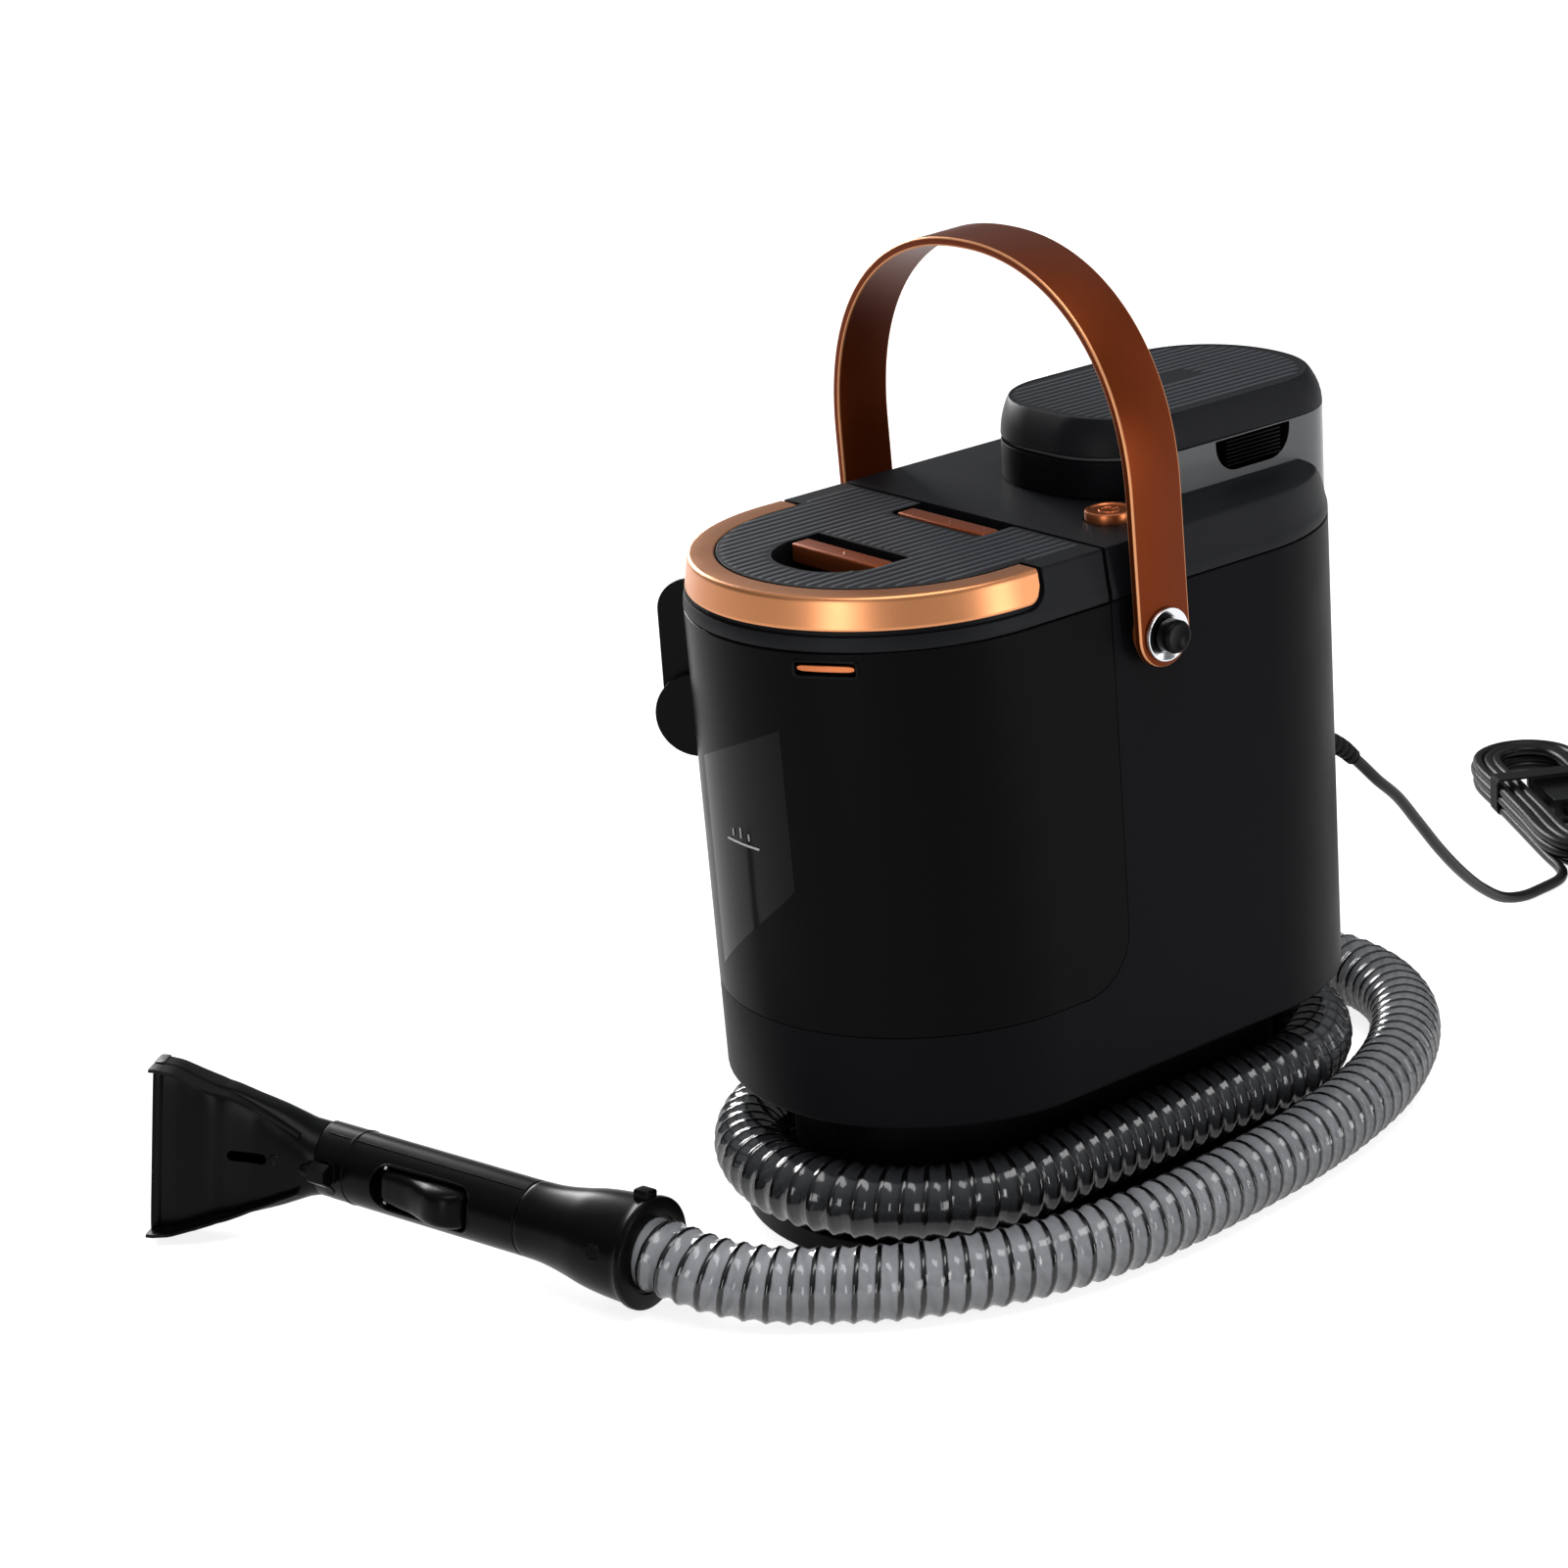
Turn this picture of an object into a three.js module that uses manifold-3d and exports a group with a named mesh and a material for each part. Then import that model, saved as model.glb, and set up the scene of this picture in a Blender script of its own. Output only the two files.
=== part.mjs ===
// Spot extractor: a portable carpet and upholstery spot cleaner, in millimetres, +Z up.
// +X points to the rear (clean tank), -X to the nose (dirty tank), -Y to the near side.
// The origin lies on the underside of the base plate, midway between the round ends.
import * as THREE from "three";
import { mergeVertices } from "three/addons/utils/BufferGeometryUtils.js";
import Module from "manifold-3d";

const wasm = await Module();
wasm.setup();

// ---- Driving dimensions -------------------------------------------------
const GAP = 0.3; // clearance between pieces that touch
const FIT = 0.5; // clearance round a piece that slides or lifts
const BIG = 600; // reach of a cutting block, beyond every piece
const ARC = 10; // facets in a quarter turn of the body's outline

// Levels of the body
const PLATE_TOP = 12.8;
const BODY_BOTTOM = 73.1;
const BAND_TOP = 119.2;
const SEAM_Z = 304.2;
const DECK_H = 25; // shoulder's height above the seam
const DECK_Z = SEAM_Z + DECK_H;

// Plan of the body: two round ends, wider and shorter towards the bottom
const SEAM_R = 95;
const SEAM_NOSE = -76.5;
const SEAM_REAR = 76.5;
const BASE_R = 98.7;
const BASE_NOSE = -66.8;
const BASE_REAR = 73.2;
const DECK_INSET = 4.3; // how far the deck's edge lies inside the seam
const SEAM_X = -25; // upright seam between dirty tank and housing
const WALL = 3;
const TANK_WALL = 2.5;
const TANK_CORNER = 28; // lower rear corner of the dirty tank

// Base and hose wrap
const PLATE_R = 101.3;
const PLATE_CENTRE = 59;
const CORE_R = 61;
const FOOT_R = 11;
const FOOT_H = 4;
const FOOT_X = 96;
const FOOT_Y = 58;

// Clean tank
const REAR_X = SEAM_REAR + SEAM_R - 0.5; // rear of the works
const CLEAN_X0 = 20;
const CLEAN_X1 = REAR_X + 7.5; // the tank's upper part overhangs the rear seam
const CLEAN_HALF = 54.7;
const CLEAN_NOSE_R = 46;
const CLEAN_TAIL_R = 42;
const WELL_X1 = REAR_X - 8;
const WELL_TAIL_R = 40;
const WELL_DEPTH = 117.2; // from the seam down to the well's floor
const WELL_FLOOR = SEAM_Z - WELL_DEPTH;
const SHELF_T = 3;
const WELL_WALL = 2.4;
const BAY_ROOF = WELL_FLOOR - SHELF_T;
const COLLAR_H = 16.8;
const COLLAR_TOP = DECK_Z + COLLAR_H;
const CLEAN_TOP = COLLAR_TOP + 3.5;
const LID_H = 17.9;
const LID_TOP = CLEAN_TOP + LID_H;
const LID_INSET = 6.4;
const LID_SIDE = 0.45;
const COLLAR_X1 = 48;
const COLLAR_T = 2.8;
const SPOUT_R = 11;
const SPOUT_X = REAR_X - 22;
const TAIL_TOP = REAR_X - 33; // where the deck's flat top ends
const TAIL_LOW = REAR_X + 14; // the same plane at the seam
const TAIL_ROUND = 14; // higher makes the deck's rear corners sharper
const DECK_HOLLOW = REAR_X - 55;

// Ribs on both lids
const RIB_PITCH = 7.4;
const RIB_GROOVE = 2.8;
const RIB_DEPTH = 1;

// Carry handle
const PIVOT_X = -1.2;
const PIVOT_DROP = 18.7;
const PIVOT_Z = SEAM_Z - PIVOT_DROP;
const STRAP_W = 31;
const STRAP_T = 4.4;
const BOSS_OUT = 4.6; // how far the pivot bosses stand out
const STRAP_HALF = SEAM_R + BOSS_OUT + GAP + STRAP_T; // outer half width
const STRAP_LEG = 65.2; // straight leg above the pivot
const STRAP_SPRING = PIVOT_Z + STRAP_LEG;
const STRAP_RISE = 108.6;
const STRAP_POWER = 2.2; // exponent of the arch's superellipse
const STRAP_LEAN = -1.9; // degrees from upright at rest, towards the nose
const PIN_R = 5.6;
const WASHER_R = 12.6;
const WASHER_T = 2.2;
const KNOB_R = 7.8;
const KNOB_OUT = 6.5;
const BOSS_R = 12;

// Power button
const BUTTON_X = 10;
const BUTTON_Y = -58;
const BUTTON_R = 11.6;
const BUTTON_H = 4.8;
const BUTTON_STEM_R = 6;
const BUTTON_SEAT = 1.8; // depth of the button's seat in the deck
const BUTTON_TRAVEL = 1.5;

// Dirty tank lid
const RECESS_X0 = -133;
const RECESS_X1 = -89.5;
const RECESS_HALF = 33;
const RECESS_R = 30;
const RECESS_DEPTH = 13;
const BAR_W = 10.4;
const BAR_H = 9.5;
const BAR_HALF = 30.5;
const BAR_PIN_R = 2;
const FRONT_BAR_X = -102.5;
const REAR_BAR_X = -38.5;
const NOTCH_X0 = -47.5;
const TRIM_END = -65.5;
const TRIM_LOW = 314.2;
const TRIM_GAP = 2.8; // shadow gap below and behind the trim
const TRIM_R = 78; // radius of the ribbed panel inside the trim
const TRIM_T = 2.4;

// Machine inside
const MOTOR_X = REAR_X - 87;
const MOTOR_R = 44;
const SHAFT_R = 4;
const SHAFT_IN = 40; // how far the shaft reaches into the motor
const BLADES = 8;
const BLADE_T = 1.6;
const FAN_R = 42;
const FAN_H = 15;
const FAN_CASE_R = FAN_R + 6;
const FAN_CASE_T = 2.4;
const FAN_CASE_H = FAN_H + 3 * FAN_CASE_T + 4;
const EYE_GAP = 6; // free height between the fan's eye and the shelf
const MOTOR_TOP = BAY_ROOF - EYE_GAP - FAN_CASE_H - GAP;
const STANDPIPE_X = -72;
const STANDPIPE_R = 16;
const STANDPIPE_TOP = 262;
const FLOAT_X = -112;
const FLOAT_R = 13;
const FLOAT_TRAVEL = 12;

// Hand tool
const TOOL_X = -243.7;
const TOOL_Y = -4.5;
const TOOL_TURN = 17; // degrees from +Y towards -X
const TOOL_PITCH = 2.6;
const TOOL_ROLL = 10; // the tool lies rolled back on its round cuff
const CUFF_R = 27;
const CUFF_L = 68;
const GRIP_R = 18.3;
const GRIP_L = 126;
const NECK_BEND = 27.3; // degrees between grip and nozzle
const NOZZLE_L = 86.7;
const NOZZLE_PITCH = -1; // the nozzle tips down a little
const NOZZLE_HALF = 43.6;
const NOZZLE_T = 8.7;
const CHEEK_OUT = 9.6; // how far the side rims stand out from the nozzle's face
const CHEEK_T = 2;
const NOZZLE_WALL = 1.8;

// Hose and mains cord
const HOSE_R = 18.4;
const CORD_R = 3.1;
const SLEEVE_L = 60; // along the cord, from inside the rear wall
const SLEEVE_END_R = 4.4;
const SLEEVE_STEPS = 12;
const GROOVE_R = 83; // radius of the wrapped hose about the ends' centres
const HANK_X = 512;
const HANK_Y = 104;
const HANK_TURN = 60;
const HANK_RUN = 124;
const HANK_IN = 16;
const HANK_OUT = 35;
const HANK_H = 19;
const PLUG_L = 36;

// ---- Materials ----------------------------------------------------------
function material(color, roughness, metalness = 0, opacity = 1) {
  return new THREE.MeshStandardMaterial({ color, roughness, metalness, opacity, transparent: opacity < 1 });
}
const charcoal = () => material(0x26272b, 0.55);
const black = () => material(0x0d0d0f, 0.35);
const copper = () => material(0x9a5636, 0.32, 0.85);
const chrome = () => material(0xd8dadd, 0.12, 1);
const smoke = () => material(0x5b5e62, 0.15, 0, 0.55);
const darkTank = () => material(0x070708, 0.12);
const rubber = () => material(0x1a1a1b, 0.8);
const steel = () => material(0x9a9da0, 0.35, 0.9);
const greenBoard = () => material(0x1f5a34, 0.5);
const whitePlastic = () => material(0xd9d9d6, 0.45);

// ---- Solids -------------------------------------------------------------
function solid(geometry) {
  const bare = geometry.index ? geometry.toNonIndexed() : geometry.clone();
  bare.deleteAttribute("normal");
  bare.deleteAttribute("uv");
  const merged = mergeVertices(bare, 1e-4);
  const mesh = new wasm.Mesh({
    numProp: 3,
    vertProperties: new Float32Array(merged.attributes.position.array),
    triVerts: new Uint32Array(merged.index.array),
  });
  return new wasm.Manifold(mesh);
}

function geometryOf(body) {
  const mesh = body.getMesh();
  const geometry = new THREE.BufferGeometry();
  geometry.setAttribute("position", new THREE.BufferAttribute(new Float32Array(mesh.vertProperties), 3));
  geometry.setIndex(new THREE.BufferAttribute(new Uint32Array(mesh.triVerts), 1));
  return geometry;
}

const join = (first, ...rest) => rest.reduce((all, one) => all.add(one), first);
const cut = (first, ...rest) => rest.reduce((all, one) => all.subtract(one), first);
const common = (first, ...rest) => rest.reduce((all, one) => all.intersect(one), first);

function block(x0, x1, y0, y1, z0, z1) {
  const box = new THREE.BoxGeometry(x1 - x0, y1 - y0, z1 - z0);
  return solid(box.translate((x0 + x1) / 2, (y0 + y1) / 2, (z0 + z1) / 2));
}

// Upright cylinder or cone frustum at x, y from z0 to z1.
function post(x, y, r0, z0, z1, r1 = r0, facets = 20) {
  const shape = new THREE.CylinderGeometry(r1, r0, z1 - z0, facets);
  shape.rotateX(Math.PI / 2);
  return solid(shape.translate(x, y, (z0 + z1) / 2));
}

// Cylinder along Y at x, z from y0 to y1.
function axleY(x, z, r, y0, y1, facets = 24) {
  const shape = new THREE.CylinderGeometry(r, r, y1 - y0, facets);
  return solid(shape.translate(x, (y0 + y1) / 2, z));
}

// Body of revolution about the upright axis at x, y; profile is [radius, z] pairs.
function turned(profile, x, y, facets = 28) {
  const points = profile.map(([r, z]) => new THREE.Vector2(r, z));
  const shape = new THREE.LatheGeometry(points, facets);
  shape.rotateX(Math.PI / 2);
  const body = solid(shape);
  const out = body.volume() < 0 ? solid(flipped(shape)) : body;
  return out.translate([x, y, 0]);
}

function flipped(geometry) {
  const copy = geometry.clone();
  const index = copy.index.array;
  for (let i = 0; i < index.length; i += 3) {
    [index[i + 1], index[i + 2]] = [index[i + 2], index[i + 1]];
  }
  return copy;
}

// Upright prism of a plan outline.
function prism(points, z0, z1) {
  const shape = new THREE.Shape(points.map(([x, y]) => new THREE.Vector2(x, y)));
  const form = new THREE.ExtrudeGeometry(shape, { depth: z1 - z0, bevelEnabled: false });
  return solid(form.translate(0, 0, z0));
}

// Prism across the machine of a side outline given as [x, z] pairs.
function prismY(points, y0, y1) {
  const shape = new THREE.Shape(points.map(([x, z]) => new THREE.Vector2(x, z)));
  const form = new THREE.ExtrudeGeometry(shape, { depth: y1 - y0, bevelEnabled: false });
  form.rotateX(Math.PI / 2);
  return solid(form.translate(0, y1, 0));
}

// Prism along the machine of a front outline given as [y, z] pairs.
function prismX(points, x0, x1) {
  const shape = new THREE.Shape(points.map(([y, z]) => new THREE.Vector2(y, z)));
  const form = new THREE.ExtrudeGeometry(shape, { depth: x1 - x0, bevelEnabled: false });
  form.applyMatrix4(new THREE.Matrix4().set(0, 0, 1, 0, 1, 0, 0, 0, 0, 1, 0, 0, 0, 0, 0, 1));
  return solid(form.translate(x0, 0, 0));
}

// Skin through a stack of rings with the same number of points, closed at both ends.
function loft(rings) {
  const count = rings[0].length;
  const positions = rings.flat(2);
  const index = [];
  for (let k = 0; k < rings.length - 1; k++) {
    for (let i = 0; i < count; i++) {
      const a = k * count + i;
      const b = k * count + ((i + 1) % count);
      index.push(a, b, b + count, a, b + count, a + count);
    }
  }
  const last = (rings.length - 1) * count;
  for (let i = 1; i < count - 1; i++) {
    index.push(0, i + 1, i);
    index.push(last, last + i, last + i + 1);
  }
  const geometry = new THREE.BufferGeometry();
  geometry.setAttribute("position", new THREE.Float32BufferAttribute(positions, 3));
  geometry.setIndex(index);
  const body = solid(geometry);
  return body.volume() < 0 ? solid(flipped(geometry)) : body;
}

// ---- Outlines -----------------------------------------------------------
function arc(cx, cy, r, from, to, steps) {
  const points = [];
  for (let i = 0; i <= steps; i++) {
    const a = THREE.MathUtils.degToRad(from + ((to - from) * i) / steps);
    points.push([cx + r * Math.cos(a), cy + r * Math.sin(a)]);
  }
  return points;
}

function roundEnds(nose, rear, r) {
  return [...arc(rear, 0, r, -90, 90, 2 * ARC), ...arc(nose, 0, r, 90, 270, 2 * ARC)];
}

// Outline of the body at level z, moved inwards by inset.
function bodyPlan(z, inset = 0) {
  const t = (z - BODY_BOTTOM) / (SEAM_Z - BODY_BOTTOM);
  const nose = THREE.MathUtils.lerp(BASE_NOSE, SEAM_NOSE, t);
  const rear = THREE.MathUtils.lerp(BASE_REAR, SEAM_REAR, t);
  return roundEnds(nose, rear, THREE.MathUtils.lerp(BASE_R, SEAM_R, t) - inset);
}

const ring = (points, z) => points.map(([x, y]) => [x, y, z]);

function bodyLoft(z0, z1, inset = 0) {
  return loft([ring(bodyPlan(z0, inset), z0), ring(bodyPlan(z1, inset), z1)]);
}

// The shoulder between seam and deck: [level, inset] down a bevel with crisp edges.
const SHOULDER = [
  [SEAM_Z + GAP, 0],
  [SEAM_Z + 6, 0.7],
  [DECK_Z - 0.8, 3.5],
  [DECK_Z, DECK_INSET],
];

function shoulderInset(z) {
  const next = SHOULDER.findIndex(([level]) => level >= z);
  const k = Math.max(next < 0 ? SHOULDER.length - 1 : next, 1);
  const [z0, in0] = SHOULDER[k - 1];
  const [z1, in1] = SHOULDER[k];
  return in0 + ((in1 - in0) * (z - z0)) / (z1 - z0);
}

// The shoulder's form, moved inwards by inset and ending at the level top.
function shoulderForm(inset = 0, top = DECK_Z, low = SHOULDER[0][0]) {
  const between = SHOULDER.map(([z]) => z).filter((z) => z > low && z < top);
  const levels = [low, ...between, top];
  return loft(levels.map((z) => ring(roundEnds(SEAM_NOSE, SEAM_REAR, SEAM_R - inset - shoulderInset(z)), z)));
}

// Rounded rectangle in plan with its own radius at the nose end and the tail end.
function tankPlan(x0, x1, half, noseR, tailR, grow = 0) {
  const rn = noseR + grow;
  const rt = tailR + grow;
  const h = half + grow;
  return [
    ...arc(x1 + grow - rt, -h + rt, rt, -90, 0, 10),
    ...arc(x1 + grow - rt, h - rt, rt, 0, 90, 10),
    ...arc(x0 - grow + rn, h - rn, rn, 90, 180, 12),
    ...arc(x0 - grow + rn, -h + rn, rn, 180, 270, 12),
  ];
}
const upperTank = (grow) => tankPlan(CLEAN_X0, CLEAN_X1, CLEAN_HALF, CLEAN_NOSE_R, CLEAN_TAIL_R, grow);
const lowerTank = (grow) => tankPlan(CLEAN_X0, WELL_X1, CLEAN_HALF, CLEAN_NOSE_R, WELL_TAIL_R, grow);

// Side outline of the dirty tank's bay: square nose side, rounded lower rear corner.
function bayProfile(inset, top) {
  const x = SEAM_X - inset;
  const z = BAND_TOP + inset;
  const r = TANK_CORNER - inset;
  return [[-BIG, z], ...arc(x - r, z + r, r, -90, 0, 8), [x, top], [-BIG, top]];
}

// ---- Base ---------------------------------------------------------------
const footSpots = [
  ["front_left", -FOOT_X, -FOOT_Y],
  ["front_right", -FOOT_X, FOOT_Y],
  ["rear_left", FOOT_X, -FOOT_Y],
  ["rear_right", FOOT_X, FOOT_Y],
];

function basePlate() {
  const chamfer = 1.6;
  const plan = (inset) => roundEnds(-PLATE_CENTRE, PLATE_CENTRE, PLATE_R - inset);
  const plate = loft([
    ring(plan(chamfer), 0),
    ring(plan(0), chamfer),
    ring(plan(0), PLATE_TOP - chamfer),
    ring(plan(chamfer), PLATE_TOP),
  ]);
  const pockets = footSpots.map(([, x, y]) => post(x, y, FOOT_R + GAP, -1, FOOT_H + GAP));
  return cut(plate, ...pockets);
}

function wrapCore() {
  const outer = prism(roundEnds(SEAM_NOSE, SEAM_REAR, CORE_R), PLATE_TOP + GAP, BODY_BOTTOM);
  const inner = prism(roundEnds(SEAM_NOSE, SEAM_REAR, CORE_R - WALL), PLATE_TOP + GAP + WALL, BODY_BOTTOM + 1);
  const x = SEAM_REAR + CORE_R;
  const port = block(x - 12, x + 1, PORT_Y - HOSE_R - 3, PORT_Y + HOSE_R + 3, PLATE_TOP + 1, BODY_BOTTOM - 4);
  return cut(outer, inner, port);
}

function underPan() {
  const top = BODY_BOTTOM + GAP + WALL;
  const pan = prism(bodyPlan(BODY_BOTTOM, WALL + GAP), BODY_BOTTOM + GAP, top);
  return cut(pan, post(STANDPIPE_X, 0, STANDPIPE_R + GAP, 0, BIG));
}

// ---- Housing ------------------------------------------------------------
const VENT_ROWS = 8;
const VENT_PITCH = 6.5;
const VENT_H = 2.6;
const VENT_Z = 96;
const VENT_HALF = 42;
const GLAND_Y = -10;
const GLAND_Z = 165;
const GLAND_R = 7;

function ventSlots() {
  const slots = [];
  for (let i = 0; i < VENT_ROWS; i++) {
    const z = VENT_Z + i * VENT_PITCH;
    slots.push(block(SEAM_REAR + 60, BIG, -VENT_HALF, VENT_HALF, z, z + VENT_H));
  }
  return slots;
}

function mainHousing() {
  const outer = bodyLoft(BODY_BOTTOM, SEAM_Z);
  const bay = prismY(bayProfile(0, BIG), -BIG, BIG);
  const skin = bodyLoft(BODY_BOTTOM - 2, SEAM_Z + 2, WALL);
  const bayWall = prismY(bayProfile(-WALL, BIG), -BIG, BIG);
  const hollow = cut(skin, bayWall);
  const bosses = [-1, 1].map((side) => {
    const y0 = side < 0 ? -(SEAM_R + BOSS_OUT) : SEAM_R - WALL;
    const y1 = side < 0 ? -(SEAM_R - WALL) : SEAM_R + BOSS_OUT;
    return axleY(PIVOT_X, PIVOT_Z, BOSS_R, y0, y1);
  });
  const pinHole = axleY(PIVOT_X, PIVOT_Z, PIN_R + GAP, -BIG, BIG);
  const shell = join(cut(outer, bay, hollow), ...bosses);
  const port = post(STANDPIPE_X, 0, STANDPIPE_R + GAP, BODY_BOTTOM, BAND_TOP + 1);
  const gland = new THREE.CylinderGeometry(GLAND_R + GAP, GLAND_R + GAP, SEAM_R, 24);
  gland.rotateZ(Math.PI / 2).translate(SEAM_REAR + SEAM_R, GLAND_Y, GLAND_Z);
  return cut(shell, pinHole, port, ...ventSlots(), solid(gland));
}

// Shelf across the housing, which carries the pump.
function innerShelf() {
  const skin = bodyLoft(BAY_ROOF, WELL_FLOOR, WALL + GAP);
  const bayWall = prismY(bayProfile(-(WALL + GAP), BIG), -BIG, BIG);
  const ports = [
    post(SPOUT_X, 0, SPOUT_R + FIT, BAY_ROOF - 1, WELL_FLOOR + 1),
    post(DUCT_X, 0, DUCT_R, BAY_ROOF - 1, WELL_FLOOR + 1),
  ];
  return cut(skin, bayWall, ...ports);
}

// Well that the clean tank stands in: an open-topped wall on the shelf.
function tankWell() {
  const z0 = WELL_FLOOR + GAP;
  const wall = prism(lowerTank(FIT + WELL_WALL), z0, SEAM_Z);
  const inside = prism(lowerTank(FIT), z0 - 1, SEAM_Z + 1);
  return common(cut(wall, inside), bodyLoft(BAND_TOP, SEAM_Z, WALL + GAP));
}

// Deck outline at level z: the shoulder's round rear end cut by a plane that leans, with rounded corners.
function deckPlan(z) {
  const r = SEAM_R - shoulderInset(z);
  const reach = THREE.MathUtils.lerp(TAIL_LOW, TAIL_TOP, (z - SEAM_Z) / DECK_H) - SEAM_REAR;
  const rear = arc(0, 0, 1, -90, 90, 4 * ARC).map(([c, n]) => {
    const flat = Math.max(c, 0) / reach;
    const out = (r ** -TAIL_ROUND + flat ** TAIL_ROUND) ** (-1 / TAIL_ROUND);
    return [SEAM_REAR + out * c, out * n];
  });
  return [...rear, ...arc(SEAM_NOSE, 0, r, 90, 270, 4)];
}

function deckForm() {
  const levels = [...SHOULDER.map(([z]) => z), SEAM_Z + DECK_H / 2].sort((a, b) => a - b);
  return loft(levels.map((z) => ring(deckPlan(z), z)));
}

function topDeck() {
  const z0 = SEAM_Z + GAP;
  const form = deckForm();
  const front = block(-BIG, SEAM_X + GAP, -BIG, BIG, 0, BIG);
  const well = prism(upperTank(FIT), 0, BIG);
  const hollow = common(
    shoulderForm(WALL, DECK_Z - WALL, z0 - 1),
    block(SEAM_X + GAP + WALL, DECK_HOLLOW, -BIG, BIG, 0, DECK_Z - WALL),
  );
  const hollowKept = cut(hollow, prism(upperTank(FIT + WALL), 0, BIG));
  const collarOuter = prism(upperTank(0), DECK_Z - 1, COLLAR_TOP);
  const collar = common(
    cut(collarOuter, prism(upperTank(-COLLAR_T), 0, BIG)),
    block(-BIG, COLLAR_X1, -BIG, BIG, 0, BIG),
  );
  const deckCut = cut(form, front, prism(upperTank(-COLLAR_T), 0, BIG), hollowKept);
  const rearWell = common(well, block(COLLAR_X1, BIG, -BIG, BIG, 0, BIG));
  const button = post(BUTTON_X, BUTTON_Y, BUTTON_STEM_R + FIT, 0, BIG);
  const buttonSeat = post(BUTTON_X, BUTTON_Y, BUTTON_R + FIT, DECK_Z - BUTTON_SEAT, BIG);
  return cut(join(cut(deckCut, rearWell), collar), button, buttonSeat);
}

// ---- Clean tank ---------------------------------------------------------
const TAB_X1 = REAR_X - 39;
const TAB_X0 = TAB_X1 - 50;
const TAB_DROP = 17;
const TAB_T = 2.2;

// Side outline of the finger tab, grown by a margin, up to the level top.
function tabOutline(grow, top) {
  const r = 14;
  const low = CLEAN_TOP - TAB_DROP + r;
  const left = arc(TAB_X0 + r, low, r + grow, 180, 270, 6);
  const right = arc(TAB_X1 - r, low, r + grow, 270, 360, 6);
  return [[TAB_X0 - grow, top], ...left, ...right, [TAB_X1 + grow, top]];
}

const innerFront = -(COLLAR_T + FIT);

// The part of the tank that passes the collar is drawn in; the rest fills the well.
function cleanTankForm(grow, z0, z1) {
  const front = prism(upperTank(innerFront + grow), z0, z1);
  const rear = block(COLLAR_X1 + GAP - grow, BIG, -BIG, BIG, z0, z1);
  const lower = common(prism(lowerTank(grow), z0, z1), join(front, rear));
  const upper = common(prism(upperTank(grow), SEAM_Z + GAP - grow, z1), join(front, rear));
  const pocket = prismY(tabOutline(FIT - grow, z1 + 1), -BIG, -(CLEAN_HALF - TAB_T - FIT + grow));
  return cut(join(lower, upper), pocket);
}

function cleanTank() {
  const outer = cleanTankForm(0, WELL_FLOOR + GAP, CLEAN_TOP);
  const inner = cleanTankForm(-TANK_WALL, WELL_FLOOR + GAP + TANK_WALL, CLEAN_TOP + 1);
  const spout = post(SPOUT_X, 0, SPOUT_R, BAY_ROOF - 6, WELL_FLOOR + GAP + 1);
  const bore = post(SPOUT_X, 0, SPOUT_R - TANK_WALL, BAY_ROOF - 7, WELL_FLOOR + 8);
  const arms = [-1, 1].map((side) => {
    const x0 = HINGE_X + side * (HINGE_MID + GAP);
    const x1 = HINGE_X + side * HINGE_HALF;
    return knuckle(Math.min(x0, x1), Math.max(x0, x1), HINGE_Z - HINGE_R, HINGE_Z);
  });
  const lugs = common(join(...arms), block(-BIG, BIG, CLEAN_HALF - 0.5, BIG, 0, BIG));
  return cut(join(cut(outer, inner), spout, lugs), bore);
}

// Grooves along X inside an outline, sunk from level z.
function ribGrooves(outline, z, halfWidth) {
  const rows = Math.floor(halfWidth / RIB_PITCH);
  const strips = [];
  for (let i = -rows; i <= rows; i++) {
    const y = i * RIB_PITCH;
    strips.push(block(-BIG, BIG, y - RIB_GROOVE / 2, y + RIB_GROOVE / 2, z - RIB_DEPTH, z + 1));
  }
  return common(join(...strips), prism(outline, z - RIB_DEPTH - 1, z + 2));
}

// Knuckle of the lid's hinge on the far side, with the web that carries it.
const HINGE_Y = CLEAN_HALF + 4.2;
const HINGE_Z = CLEAN_TOP - 1.4;
const HINGE_R = 3.2;
const HINGE_PIN_R = 1.3;
const HINGE_X = REAR_X - 75;
const HINGE_HALF = 24;
const HINGE_MID = 14;

function axleX(y, z, r, x0, x1, facets = 20) {
  const shape = new THREE.CylinderGeometry(r, r, x1 - x0, facets);
  return solid(shape.rotateZ(Math.PI / 2).translate((x0 + x1) / 2, y, z));
}

function knuckle(x0, x1, z0, z1) {
  const web = block(x0, x1, CLEAN_HALF - 1, HINGE_Y, z0, z1);
  const barrel = axleX(HINGE_Y, HINGE_Z, HINGE_R, x0, x1);
  return cut(join(web, barrel), axleX(HINGE_Y, HINGE_Z, HINGE_PIN_R + GAP, x0 - 1, x1 + 1, 12));
}

function hingePin() {
  return axleX(HINGE_Y, HINGE_Z, HINGE_PIN_R, HINGE_X - HINGE_HALF, HINGE_X + HINGE_HALF, 12);
}

// The lid draws in less along its sides than at its ends.
function lidPlan(drawn) {
  const half = CLEAN_HALF - drawn * LID_SIDE;
  return tankPlan(CLEAN_X0 + drawn, CLEAN_X1 - drawn, half, CLEAN_NOSE_R - drawn, CLEAN_TAIL_R - drawn);
}

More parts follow.
